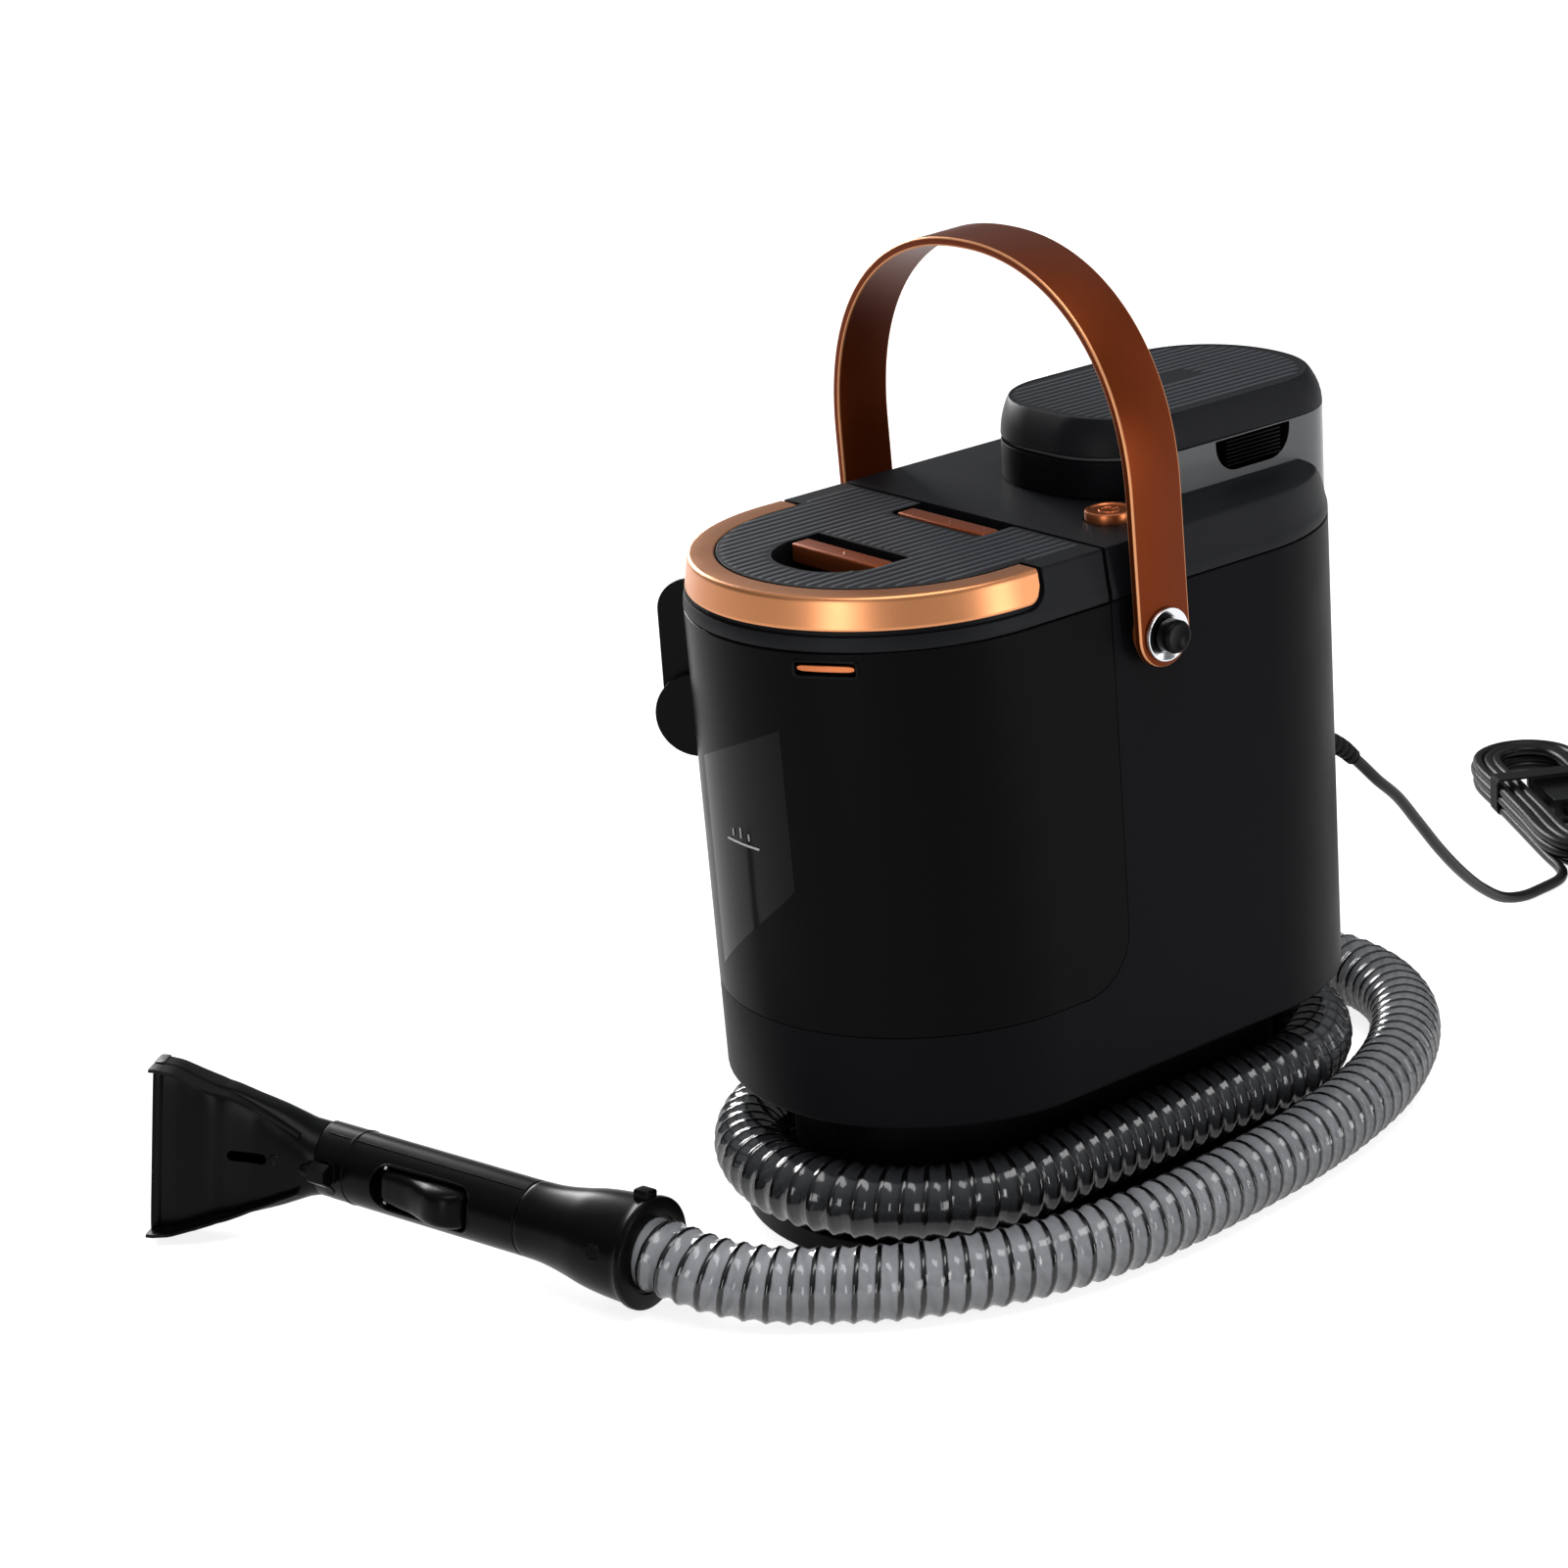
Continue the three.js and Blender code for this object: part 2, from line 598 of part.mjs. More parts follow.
function cleanLid() {
  const z0 = CLEAN_TOP + GAP;
  const steps = [[0, 0], [0.35, 0.5], [0.72, 2.6], [0.92, 5], [1, LID_INSET]];
  const form = loft(steps.map(([t, drawn]) => ring(lidPlan(drawn), THREE.MathUtils.lerp(z0, LID_TOP, t))));
  const hollow = prism(upperTank(-LID_INSET - 2), z0 - 1, LID_TOP - WALL);
  const grooves = ribGrooves(upperTank(-LID_INSET - 5), LID_TOP, CLEAN_HALF - 14);
  const z1 = HINGE_Z + HINGE_R;
  const arm = knuckle(HINGE_X - HINGE_MID, HINGE_X + HINGE_MID, z0 + 0.2, z1);
  const ownArm = cut(arm, block(-BIG, BIG, -BIG, CLEAN_HALF + GAP, 0, z0));
  return join(cut(form, hollow, grooves), ownArm);
}

function cleanLidSeal() {
  const z0 = CLEAN_TOP - 5;
  const z1 = LID_TOP - WALL - GAP;
  const outer = prism(upperTank(innerFront - TANK_WALL - GAP - 2.6), z0, z1);
  return cut(outer, prism(upperTank(innerFront - TANK_WALL - GAP - 5.6), z0 - 1, z1 + 1));
}

// D-shaped finger tab that hangs from the lid's rim in a pocket of the tank's near side.
function lidTab() {
  const low = CLEAN_TOP - TAB_DROP;
  const plate = prismY(tabOutline(0, CLEAN_TOP), -CLEAN_HALF, -(CLEAN_HALF - TAB_T));
  const ribs = [];
  for (let i = 0; i < 5; i++) {
    const z = low + 3 + i * 2.8;
    ribs.push(block(TAB_X0 + 6, TAB_X1 - 6, -BIG, -(CLEAN_HALF - 0.6), z, z + 1.2));
  }
  return cut(plate, ...ribs);
}

// ---- Dirty tank ---------------------------------------------------------
const lidBayEnd = SEAM_X - GAP;

function dirtyTank() {
  const outer = common(bodyLoft(BAND_TOP, SEAM_Z), prismY(bayProfile(GAP, BIG), -BIG, BIG));
  const inner = common(
    bodyLoft(BAND_TOP, SEAM_Z + 3, TANK_WALL),
    prismY(bayProfile(GAP + TANK_WALL, BIG), -BIG, BIG),
  );
  const pipeHole = post(STANDPIPE_X, 0, STANDPIPE_R - 2.2, 0, BAND_TOP + 30);
  return cut(outer, inner, pipeHole, latchSlot(0));
}

// Slot on the nose, just under the lid, that the lid's catch shows through.
const SLOT_ANGLE = 212;
const SLOT_Z = 297.4;
const SLOT_HALF = 15;
const SLOT_H = 8.4;

function noseBlock(halfWidth, height, r0, r1) {
  const piece = new THREE.BoxGeometry(r1 - r0, 2 * halfWidth, height);
  piece.translate((r0 + r1) / 2, 0, 0);
  piece.rotateZ(THREE.MathUtils.degToRad(SLOT_ANGLE));
  return solid(piece.translate(SEAM_NOSE, 0, SLOT_Z));
}

function latchSlot(grow) {
  return noseBlock(SLOT_HALF + grow, SLOT_H + 2 * grow, SEAM_R - TANK_WALL - 4, SEAM_R + 4);
}

function slotFrame() {
  const plate = common(
    noseBlock(SLOT_HALF - GAP, SLOT_H - 2 * GAP, SEAM_R - 6, SEAM_R + 6),
    cut(bodyLoft(BAND_TOP, SEAM_Z, 0.5), bodyLoft(BAND_TOP - 1, SEAM_Z + 1, TANK_WALL)),
  );
  return cut(plate, noseBlock(SLOT_HALF - 2, SLOT_H - 4.4, SEAM_R - 20, SEAM_R + 20));
}

function slotBar() {
  const reach = noseBlock(SLOT_HALF - 2 - GAP, SLOT_H - 4.4 - 2 * GAP, SEAM_R - 6, SEAM_R + 6);
  return common(reach, cut(bodyLoft(BAND_TOP, SEAM_Z, 0.2), bodyLoft(BAND_TOP - 1, SEAM_Z + 1, TANK_WALL)));
}

function standpipe() {
  const tube = [
    [STANDPIPE_R - 2.2, BAND_TOP + GAP + TANK_WALL + GAP],
    [STANDPIPE_R, BAND_TOP + GAP + TANK_WALL + GAP],
    [STANDPIPE_R - 1, STANDPIPE_TOP],
    [STANDPIPE_R - 3.2, STANDPIPE_TOP],
    [STANDPIPE_R - 2.2, BAND_TOP + GAP + TANK_WALL + GAP],
  ];
  return turned(tube, STANDPIPE_X, 0, 24);
}

function recessPlan(grow) {
  const r = RECESS_R + grow;
  const h = RECESS_HALF + grow;
  return [
    [RECESS_X1 + grow, -h],
    [RECESS_X1 + grow, h],
    ...arc(RECESS_X0 - grow + r, h - r, r, 90, 180, 10),
    ...arc(RECESS_X0 - grow + r, -h + r, r, 180, 270, 10),
  ];
}

// Side outline of the trim's reach: rounded corners at its end, grown by a margin.
function trimReach(grow) {
  const x = TRIM_END + grow;
  const low = TRIM_LOW - grow;
  const r = 6 + grow;
  return [[-BIG, low], ...arc(x - r, low + r, r, -90, 0, 5), [x, BIG], [-BIG, BIG]];
}

// What the lid loses for the trim: a step round the nose, with a shadow gap below and behind it.
function trimRebate() {
  const core = join(
    shoulderForm(TRIM_T + GAP, DECK_Z - TRIM_T - GAP, SEAM_Z - 1),
    prism(roundEnds(SEAM_NOSE, SEAM_REAR, TRIM_R), 0, BIG),
  );
  return cut(prismY(trimReach(TRIM_GAP), -BIG, BIG), core);
}

function copperTrim() {
  const form = common(shoulderForm(), prismY(trimReach(0), -BIG, BIG));
  const inside = shoulderForm(TRIM_T, DECK_Z - TRIM_T, SEAM_Z - 1);
  return cut(form, inside, prism(roundEnds(SEAM_NOSE, SEAM_REAR, TRIM_R + 1.2), 0, BIG));
}

function dirtyLid() {
  const z0 = SEAM_Z + GAP;
  const form = common(shoulderForm(), block(-BIG, lidBayEnd, -BIG, BIG, 0, BIG));
  const hollow = common(
    shoulderForm(WALL + TRIM_T, DECK_Z - WALL - TRIM_T, z0 - 1),
    block(-BIG, lidBayEnd - WALL, -BIG, BIG, 0, BIG),
  );
  const recessWall = prism(recessPlan(WALL), DECK_Z - RECESS_DEPTH - WALL, BIG);
  const notchWall = block(NOTCH_X0 - WALL, BIG, -RECESS_HALF - WALL, RECESS_HALF + WALL, DECK_Z - RECESS_DEPTH - WALL, BIG);
  const recess = prism(recessPlan(0), DECK_Z - RECESS_DEPTH, BIG);
  const notch = block(NOTCH_X0, BIG, -RECESS_HALF, RECESS_HALF, DECK_Z - RECESS_DEPTH, BIG);
  const ribArea = roundEnds(SEAM_NOSE, 20, TRIM_R - 2);
  const grooves = cut(
    common(ribGrooves(ribArea, DECK_Z, SEAM_R), block(-BIG, lidBayEnd - 4, -BIG, BIG, 0, BIG)),
    prism(recessPlan(4), 0, BIG),
    block(NOTCH_X0 - 4, BIG, -RECESS_HALF - 4, RECESS_HALF + 4, 0, BIG),
  );
  const pins = [FRONT_BAR_X, REAR_BAR_X].map((x) =>
    axleY(x, BAR_AXIS_Z, BAR_PIN_R + GAP, -RECESS_HALF - 2, RECESS_HALF + 2, 16),
  );
  return cut(form, cut(hollow, recessWall, notchWall), recess, notch, trimRebate(), grooves, ...pins);
}

const BAR_AXIS_Z = DECK_Z - BAR_H + 3;

// Pull bar with a crowned top and a stub pin at each end.
function pullBar(x) {
  const z1 = DECK_Z - 0.2;
  const side = [
    [x - BAR_W / 2, z1 - BAR_H],
    [x + BAR_W / 2, z1 - BAR_H],
    [x + BAR_W / 2, z1 - 1.2],
    [x + BAR_W / 2 - 1.2, z1],
    [x - BAR_W / 2 + 1.2, z1],
    [x - BAR_W / 2, z1 - 1.2],
  ];
  const bar = prismY(side, -BAR_HALF, BAR_HALF);
  return join(bar, axleY(x, BAR_AXIS_Z, BAR_PIN_R, -RECESS_HALF - 1.4, RECESS_HALF + 1.4, 16));
}

// Cage that hangs from the lid and guides the float.
function floatCage() {
  const top = DECK_Z - WALL - TRIM_T - GAP;
  const low = SEAM_Z - 46;
  const x = FLOAT_X;
  const disc = post(x, 0, FLOAT_R + 5, DECK_Z - RECESS_DEPTH - WALL - GAP - 3, DECK_Z - RECESS_DEPTH - WALL - GAP);
  const rods = [0, 90, 180, 270].map((a) => {
    const [[px, py]] = arc(x, 0, FLOAT_R + 3, a + 45, a + 45, 1);
    return post(px, py, 1.6, low, DECK_Z - RECESS_DEPTH - WALL - GAP - 1, 1.6, 10);
  });
  const foot = cut(post(x, 0, FLOAT_R + 5, low, low + 3), post(x, 0, 4, low - 1, low + 4));
  const inlet = post(x, 0, 6, 0, BIG);
  return top > low ? cut(join(disc, ...rods, foot), inlet) : disc;
}

function floatBall() {
  const low = SEAM_Z - 46 + 3 + GAP;
  const ball = new THREE.SphereGeometry(FLOAT_R, 16, 10);
  ball.rotateX(Math.PI / 2).translate(FLOAT_X, 0, low + FLOAT_R - 1.2);
  return cut(solid(ball), block(-BIG, BIG, -BIG, BIG, 0, low));
}

// Tool and hose holder on the far side of the dirty tank: a fin with a drum below it.
const HOLDER_ANGLE = 130;
const HOLDER_T = 3.2;
const HOLDER_OUT = 15.6;
const DRUM_R = 20.5;
const DRUM_T = 14;
const DRUM_Z = 246;
const FIN_H = 65; // fin's height above the drum's axis
const FIN_R = 15;

function holder() {
  const fin = new THREE.Shape();
  const r0 = SEAM_R - 0.4;
  fin.moveTo(r0, DRUM_Z);
  fin.lineTo(r0 + HOLDER_OUT, DRUM_Z);
  fin.lineTo(r0 + HOLDER_OUT, DRUM_Z + FIN_H - FIN_R);
  fin.absarc(r0 + HOLDER_OUT - FIN_R, DRUM_Z + FIN_H - FIN_R, FIN_R, 0, Math.PI / 2, false);
  fin.lineTo(r0, DRUM_Z + FIN_H);
  const plate = new THREE.ExtrudeGeometry(fin, { depth: HOLDER_T, bevelEnabled: false, curveSegments: 8 });
  plate.rotateX(Math.PI / 2).translate(0, HOLDER_T / 2, 0);
  const drum = axleY(r0 - 1.3, DRUM_Z, DRUM_R, -DRUM_T / 2, DRUM_T / 2);
  const groove = cut(axleY(r0 - 1.3, DRUM_Z, DRUM_R + 1, -3, 3), axleY(r0 - 1.3, DRUM_Z, DRUM_R - 3, -4, 4));
  const body = join(solid(plate), cut(drum, groove)).rotate([0, 0, HOLDER_ANGLE]);
  return cut(body.translate([SEAM_NOSE, 0, 0]), bodyLoft(BAND_TOP, SEAM_Z + 8, -GAP));
}

// ---- Handle -------------------------------------------------------------
function archPoints(half, rise, steps) {
  const points = [];
  for (let i = 0; i <= steps; i++) {
    const a = (Math.PI * i) / steps;
    const c = Math.cos(a);
    const y = half * Math.sign(c) * Math.abs(c) ** (2 / STRAP_POWER);
    points.push([y, STRAP_SPRING + rise * Math.sin(a) ** (2 / STRAP_POWER)]);
  }
  return points;
}

function handleStrap() {
  const low = PIVOT_Z - STRAP_W;
  const outer = archPoints(STRAP_HALF, STRAP_RISE, 32);
  const inner = archPoints(STRAP_HALF - STRAP_T, STRAP_RISE - STRAP_T, 32).reverse();
  const front = [[STRAP_HALF, low], ...outer, [-STRAP_HALF, low]];
  front.push([-(STRAP_HALF - STRAP_T), low], ...inner, [STRAP_HALF - STRAP_T, low]);
  const band = prismX(front, PIVOT_X - STRAP_W / 2, PIVOT_X + STRAP_W / 2);
  const r = STRAP_W / 2;
  const side = [...arc(PIVOT_X, PIVOT_Z, r, 180, 360, 14), [PIVOT_X + r, BIG], [PIVOT_X - r, BIG]];
  const ends = prismY(side, -BIG, BIG);
  const hole = axleY(PIVOT_X, PIVOT_Z, PIN_R + 2 * GAP, -BIG, BIG);
  return cut(common(band, ends), hole);
}

// Dished washer pressed on the strap's outer face; side is -1 (near) or 1 (far).
function washer(side) {
  const y0 = STRAP_HALF + GAP;
  const profile = [
    [PIN_R + 2 * GAP, 0],
    [WASHER_R - 1.5, 0],
    [WASHER_R, 0.8],
    [WASHER_R - 1.6, WASHER_T],
    [PIN_R + 2 * GAP, 0.9],
    [PIN_R + 2 * GAP, 0],
  ];
  const dish = turned(profile, 0, 0, 24).rotate([side < 0 ? 90 : -90, 0, 0]);
  return dish.translate([PIVOT_X, side * y0, PIVOT_Z]);
}

function pivotKnob(side) {
  const r = STRAP_HALF + WASHER_T + GAP;
  const parts = [
    [PIN_R, SEAM_R - WALL - 6, r + 0.5],
    [KNOB_R, r, r + KNOB_OUT],
    [PIN_R + 2.4, SEAM_R - WALL - 6, SEAM_R - WALL - 3],
  ];
  const solids = parts.map(([radius, a, b]) =>
    side < 0 ? axleY(PIVOT_X, PIVOT_Z, radius, -b, -a, 20) : axleY(PIVOT_X, PIVOT_Z, radius, a, b, 20),
  );
  return join(...solids);
}

// ---- Button, switch and works -------------------------------------------
const DUCT_X = -2;
const DUCT_R = 14;

function powerButton() {
  const top = DECK_Z + BUTTON_H;
  const cap = post(BUTTON_X, BUTTON_Y, BUTTON_R, DECK_Z - BUTTON_SEAT + BUTTON_TRAVEL + GAP, top - 0.8);
  const crown = post(BUTTON_X, BUTTON_Y, BUTTON_R, top - 0.8, top, BUTTON_R - 0.9);
  const stem = post(BUTTON_X, BUTTON_Y, BUTTON_STEM_R, DECK_Z - 9, top - 1);
  const dish = post(BUTTON_X, BUTTON_Y, BUTTON_R - 4, top - 0.7, top + 1);
  return cut(join(cap, crown, stem), dish);
}

function switchBody() {
  const z1 = DECK_Z - WALL - GAP;
  const body = block(BUTTON_X - 12, BUTTON_X + 12, BUTTON_Y - 10, BUTTON_Y + 10, z1 - 17, z1);
  return cut(body, post(BUTTON_X, BUTTON_Y, BUTTON_STEM_R + 1, z1 - 10, BIG));
}

function motorCan() {
  const z0 = BODY_BOTTOM + 2 * GAP + WALL;
  const can = turned(
    [[0, z0], [MOTOR_R - 6, z0], [MOTOR_R, z0 + 6], [MOTOR_R, MOTOR_TOP - 4], [MOTOR_R - 4, MOTOR_TOP], [0, MOTOR_TOP]],
    MOTOR_X, 0, 28,
  );
  return cut(can, post(MOTOR_X, 0, SHAFT_R + GAP, z0 + 20, BIG, SHAFT_R + GAP, 20));
}

function fanCase() {
  const z0 = MOTOR_TOP + GAP;
  const z1 = z0 + FAN_CASE_H;
  const inside = FAN_CASE_R - FAN_CASE_T;
  const outer = post(MOTOR_X, 0, FAN_CASE_R, z0, z1, FAN_CASE_R, 28);
  const inner = post(MOTOR_X, 0, inside, z0 + FAN_CASE_T, z1 - FAN_CASE_T, inside, 28);
  const eye = post(MOTOR_X, 0, FAN_R / 3, z1 - FAN_CASE_T - 1, BIG, FAN_R / 3, 24);
  const shaft = post(MOTOR_X, 0, SHAFT_R + 2, 0, z0 + FAN_CASE_T + 1, SHAFT_R + 2, 20);
  const x0 = MOTOR_X + FAN_CASE_R * 0.75;
  const outlet = block(x0, BIG, -FAN_R / 4, FAN_R / 4, z0 + FAN_CASE_T, z1 - 2 * FAN_CASE_T);
  return cut(outer, inner, eye, shaft, outlet);
}

// Backward-curved blades: arcs of a large circle cut off at the rim, between hub and disc.
function impeller() {
  const z0 = MOTOR_TOP + GAP + 2 * FAN_CASE_T;
  const z1 = z0 + FAN_H;
  const bladeR = 0.62 * FAN_R;
  const [bladeX, bladeY] = [0.43 * FAN_R, -0.33 * FAN_R];
  const hub = post(MOTOR_X, 0, FAN_R / 4.6, z0, z1, FAN_R / 7, 20);
  const disc = post(MOTOR_X, 0, FAN_R, z0, z0 + FAN_H / 8, FAN_R, 28);
  const shaft = post(MOTOR_X, 0, SHAFT_R, MOTOR_TOP - SHAFT_IN, z0 + 1, SHAFT_R, 20);
  const rim = post(0, 0, FAN_R * 0.98, 0, BIG, FAN_R * 0.98, 28);
  const reach = block(FAN_R / 10, BIG, -FAN_R / 5, BIG, 0, BIG);
  const outer = post(bladeX, bladeY, bladeR, z0 + 1, z1 - FAN_H / 8, bladeR, 20);
  const inner = post(bladeX, bladeY, bladeR - BLADE_T, 0, BIG, bladeR - BLADE_T, 20);
  const blade = common(cut(outer, inner), rim, reach);
  const blades = [];
  for (let i = 0; i < BLADES; i++) {
    blades.push(blade.rotate([0, 0, (360 * i) / BLADES]).translate([MOTOR_X, 0, 0]));
  }
  return join(disc, hub, shaft, ...blades);
}

function pumpBody() {
  const z0 = WELL_FLOOR + GAP;
  const frame = block(-18, 14, 34, 66, z0, z0 + 4);
  const coil = post(-2, 50, 15, z0 + 3, z0 + 44, 15, 28);
  const head = post(-2, 50, 9, z0 + 43, z0 + 66, 7, 24);
  return join(frame, coil, head);
}

// ---- Hand tool: local +Y runs from the cuff to the nozzle ----------------
// Body of revolution about the tool's own axis; profile is [radius, y] pairs.
function turnedY(profile, facets = 28) {
  return turned(profile, 0, 0, facets).rotate([-90, 0, 0]);
}

function toolCuff() {
  const outer = [
    [0, 0], [CUFF_R - 1, 0], [CUFF_R, 1.5], [CUFF_R, 9], [CUFF_R - 1.6, 11], [CUFF_R - 2.2, 28],
    [GRIP_R + 4, 40], [GRIP_R + 1.2, 52], [GRIP_R + 0.3, CUFF_L], [0, CUFF_L],
  ];
  const bore = [[0, -1], [HOSE_R + 0.9, -1], [HOSE_R + 0.9, 16], [14, 18], [14, CUFF_L + 1], [0, CUFF_L + 1]];
  const lug = block(-4, 4, 3, 11, CUFF_R - 2, CUFF_R + 3);
  return cut(join(turnedY(outer), lug), turnedY(bore, 28));
}

const TRIGGER_Y0 = 98;
const TRIGGER_Y1 = 154;
const TRIGGER_HALF = 10;
const TRIGGER_POCKET = 14; // depth of its recess in the grip
const GRIP_BORE_R = 8;

// Everything beyond a plane across the tool's axis at y, turned by half the neck's bend.
function beyondMitre(y, side) {
  const far = block(-BIG, BIG, side > 0 ? 0 : -BIG, side > 0 ? BIG : 0, -BIG, BIG);
  return far.rotate([0, 0, (side * NECK_BEND) / 2]).translate([0, y, 0]);
}

function toolGrip() {
  const y0 = CUFF_L + GAP;
  const y1 = CUFF_L + GRIP_L + 12;
  const outer = [[0, y0], [GRIP_R, y0], [GRIP_R, y1], [0, y1]];
  const pocket = block(-BIG, -GRIP_R + TRIGGER_POCKET, TRIGGER_Y0, TRIGGER_Y1, -TRIGGER_HALF - FIT, TRIGGER_HALF + FIT);
  const bore = new THREE.CylinderGeometry(GRIP_BORE_R, GRIP_BORE_R, BIG, 24);
  const pin = post(-GRIP_R + 7, TRIGGER_Y1 - 4, 1.5 + GAP, -14, 14, 1.5 + GAP, 12);
  const end = beyondMitre(CUFF_L + GRIP_L - GAP / 2, 1);
  return cut(turnedY(outer), pocket, solid(bore.translate(GRIP_BORE_R, 0, 0)), pin, end);
}

function toolTrigger() {
  const shape = [
    [-GRIP_R + 10, TRIGGER_Y1 - 1],
    [-GRIP_R + 1, TRIGGER_Y1 - 1],
    [-GRIP_R - 0.5, TRIGGER_Y1 - 14],
    [-GRIP_R - 3.4, TRIGGER_Y1 - 26],
    [-GRIP_R - 5.6, TRIGGER_Y1 - 38],
    [-GRIP_R - 4.2, TRIGGER_Y0 + 7],
    [-GRIP_R + 0.6, TRIGGER_Y0 + 1.6],
    [-GRIP_R + 6, TRIGGER_Y0 + 1.6],
    [-GRIP_R + 6, TRIGGER_Y1 - 10],
    [-GRIP_R + 10, TRIGGER_Y1 - 7],
  ];
  const body = prism(shape, -TRIGGER_HALF, TRIGGER_HALF);
  return cut(body, post(-GRIP_R + 7, TRIGGER_Y1 - 4, 1.5 + GAP, -BIG, BIG, 1.5 + GAP, 12));
}

function triggerPin() {
  return post(-GRIP_R + 7, TRIGGER_Y1 - 4, 1.5, -13, 13, 1.5, 12);
}

function sprayJet() {
  const y0 = CUFF_L + GRIP_L - 12;
  const hex = new THREE.CylinderGeometry(5.6, 6, 12, 6);
  hex.translate(-GRIP_R - 5.2, y0, 0);
  const tip = new THREE.CylinderGeometry(2.4, 4, 5, 16);
  tip.translate(-GRIP_R - 5.2, y0 + 8, 0);
  return cut(join(solid(hex), solid(tip)), turnedY([[0, 0], [GRIP_R + GAP, 0], [GRIP_R + GAP, BIG], [0, BIG]]));
}

// Outline across the nozzle, s along its axis; half heights a (up) and b (through).
function nozzleRing(s, a, b, power) {
  const points = [];
  for (let i = 0; i < 28; i++) {
    const t = (2 * Math.PI * i) / 28;
    const c = Math.cos(t);
    const n = Math.sin(t);
    const z = a * Math.sign(c) * Math.abs(c) ** (2 / power);
    points.push([b * Math.sign(n) * Math.abs(n) ** (2 / power), s, z]);
  }
  return points;
}

// Sections of the nozzle: [way along, half height, half thickness, squareness, how far the rims stand out].
const NOZZLE = [
  [0, GRIP_R - 1, GRIP_R - 1, 2, 0],
  [8, GRIP_R + 1, GRIP_R - 1, 2, 0],
  [0.25 * NOZZLE_L, GRIP_R + 6.5, GRIP_R - 4.6, 2.8, CHEEK_OUT * 0.25],
  [0.6 * NOZZLE_L, NOZZLE_HALF * 0.78, NOZZLE_T + 2.4, 6, CHEEK_OUT * 0.9],
  [0.87 * NOZZLE_L, NOZZLE_HALF - 1.4, NOZZLE_T, 8, CHEEK_OUT],
  [NOZZLE_L, NOZZLE_HALF, NOZZLE_T, 8, CHEEK_OUT],
];

function nozzleForm(wall, before, beyond) {
  const [first, ...rest] = NOZZLE;
  const rings = [nozzleRing(-before, first[1] - wall, first[2] - wall, first[3])];
  rest.forEach(([s, a, b, power], i) => {
    const end = i === rest.length - 1 ? beyond : 0;
    rings.push(nozzleRing(s + end, a - wall, b - wall, power));
  });
  return loft(rings);
}

// Rim along the top (side 1) or bottom (side -1) edge of the face.
function nozzleCheek(side) {
  const rings = NOZZLE.slice(2).map(([s, a, b, , out]) => {
    const [z0, z1] = [side * (a - CHEEK_T), side * a];
    return [[-b + 2, s, z0], [-b + 2, s, z1], [-b - out, s, z1], [-b - out, s, z0]];
  });
  return loft(rings);
}

function toolNozzle() {
  const body = cut(nozzleForm(0, 12, 0), nozzleForm(NOZZLE_WALL, 13, 1));
  const slot = block(-BIG, 0, 29, 49, -2.4, 2.4);
  const cheeks = [nozzleCheek(1), nozzleCheek(-1)];
  const mouth = cut(nozzleForm(NOZZLE_WALL, 13, 1), block(-BIG, BIG, -BIG, 0, -BIG, BIG));
  return cut(join(body, ...cheeks), slot, mouth, beyondMitre(GAP, -1).rotate([-NOZZLE_PITCH, 0, 0]));
}

// ---- Hose and cord ------------------------------------------------------
const PORT_Y = 18;
const PORT_BEND = 22; // radius of the elbow between the core and the hose

// Route of the hose's middle line, from the cuff round the outside and back into the groove.
const hoseRoute = [
  [-246.9, 6, 27.5],
  [-245.4, 1.1, 27.2],
  [-243.7, -4.5, 27],
  [-240.6, -14, 26],
  [-232.5, -34, 22.4],
  [-218, -55, 19.6],
  [-197, -76, 19],
  [-176, -94, 19],
  [-152, -109, 19],
  [-127, -120.5, 19],
  [-98, -129, 19],
  [-66, -133.5, 19],
  [-30, -134.5, 19],
  [8, -132, 19],
  [52, -127, 19],
  [96, -117, 19],
  [138, -102, 19],
  [178, -78, 19],
  [208, -48, 19],
  [224, -14, 19],
  [226, 22, 19],
  [214, 56, 20],
  [190, 82, 23],
  [158, 97, 27],
  [124, 98, 31],
  [98, 90, 32.2],
  [72, 84, 32.4],
  [36, 83, 32.4],
  [0, 83, 32.4],
  [-36, 83, 32.4],
];

function wrapPoints() {
  const points = arc(SEAM_NOSE, 0, GROOVE_R, 90, 270, 12).map(([x, y]) => [x, y, 32.4]);
  const back = [-36, 0, 36].map((x) => [x, -GROOVE_R, 32.4]);
  const tail = arc(SEAM_REAR, 0, GROOVE_R, 270, 344, 5).map(([x, y]) => [x, y, 32.4]);
  const x = SEAM_REAR + CORE_R + PORT_BEND;
  const y = PORT_Y - PORT_BEND - 6 - GAP;
  return [...points, ...back, ...tail, [x, y - 4, 32.4], [x, y, 32.4]];
}

// Route of the mains cord's middle line, from inside the sleeve in the rear wall to the hank.
const cordRoute = [
  [164, GLAND_Y, GLAND_Z],
  [172, GLAND_Y, GLAND_Z],
  [184, GLAND_Y, GLAND_Z - 0.8],
  [196, -10, 160],
  [209, -10, 152],
  [222, -9, 140.5],
  [236, -8, 127],
  [254, -5, 112],
  [276, 1, 90],
  [300, 8, 66],
  [326, 16, 43],
  [352, 24, 23.5],
  [376, 30, 9.5],
  [396, 32.4, 4],
  [412, 33.4, 3.4],
  [422.9, 34.2, 3.4],
  [429.3, 35.6, 3.4],
  [436.8, 40, 3.4],
  [443, 47.8, 3.4],
];

function curveOf(points) {
  return new THREE.CatmullRomCurve3(points.map((p) => new THREE.Vector3(...p)), false, "centripetal");
}

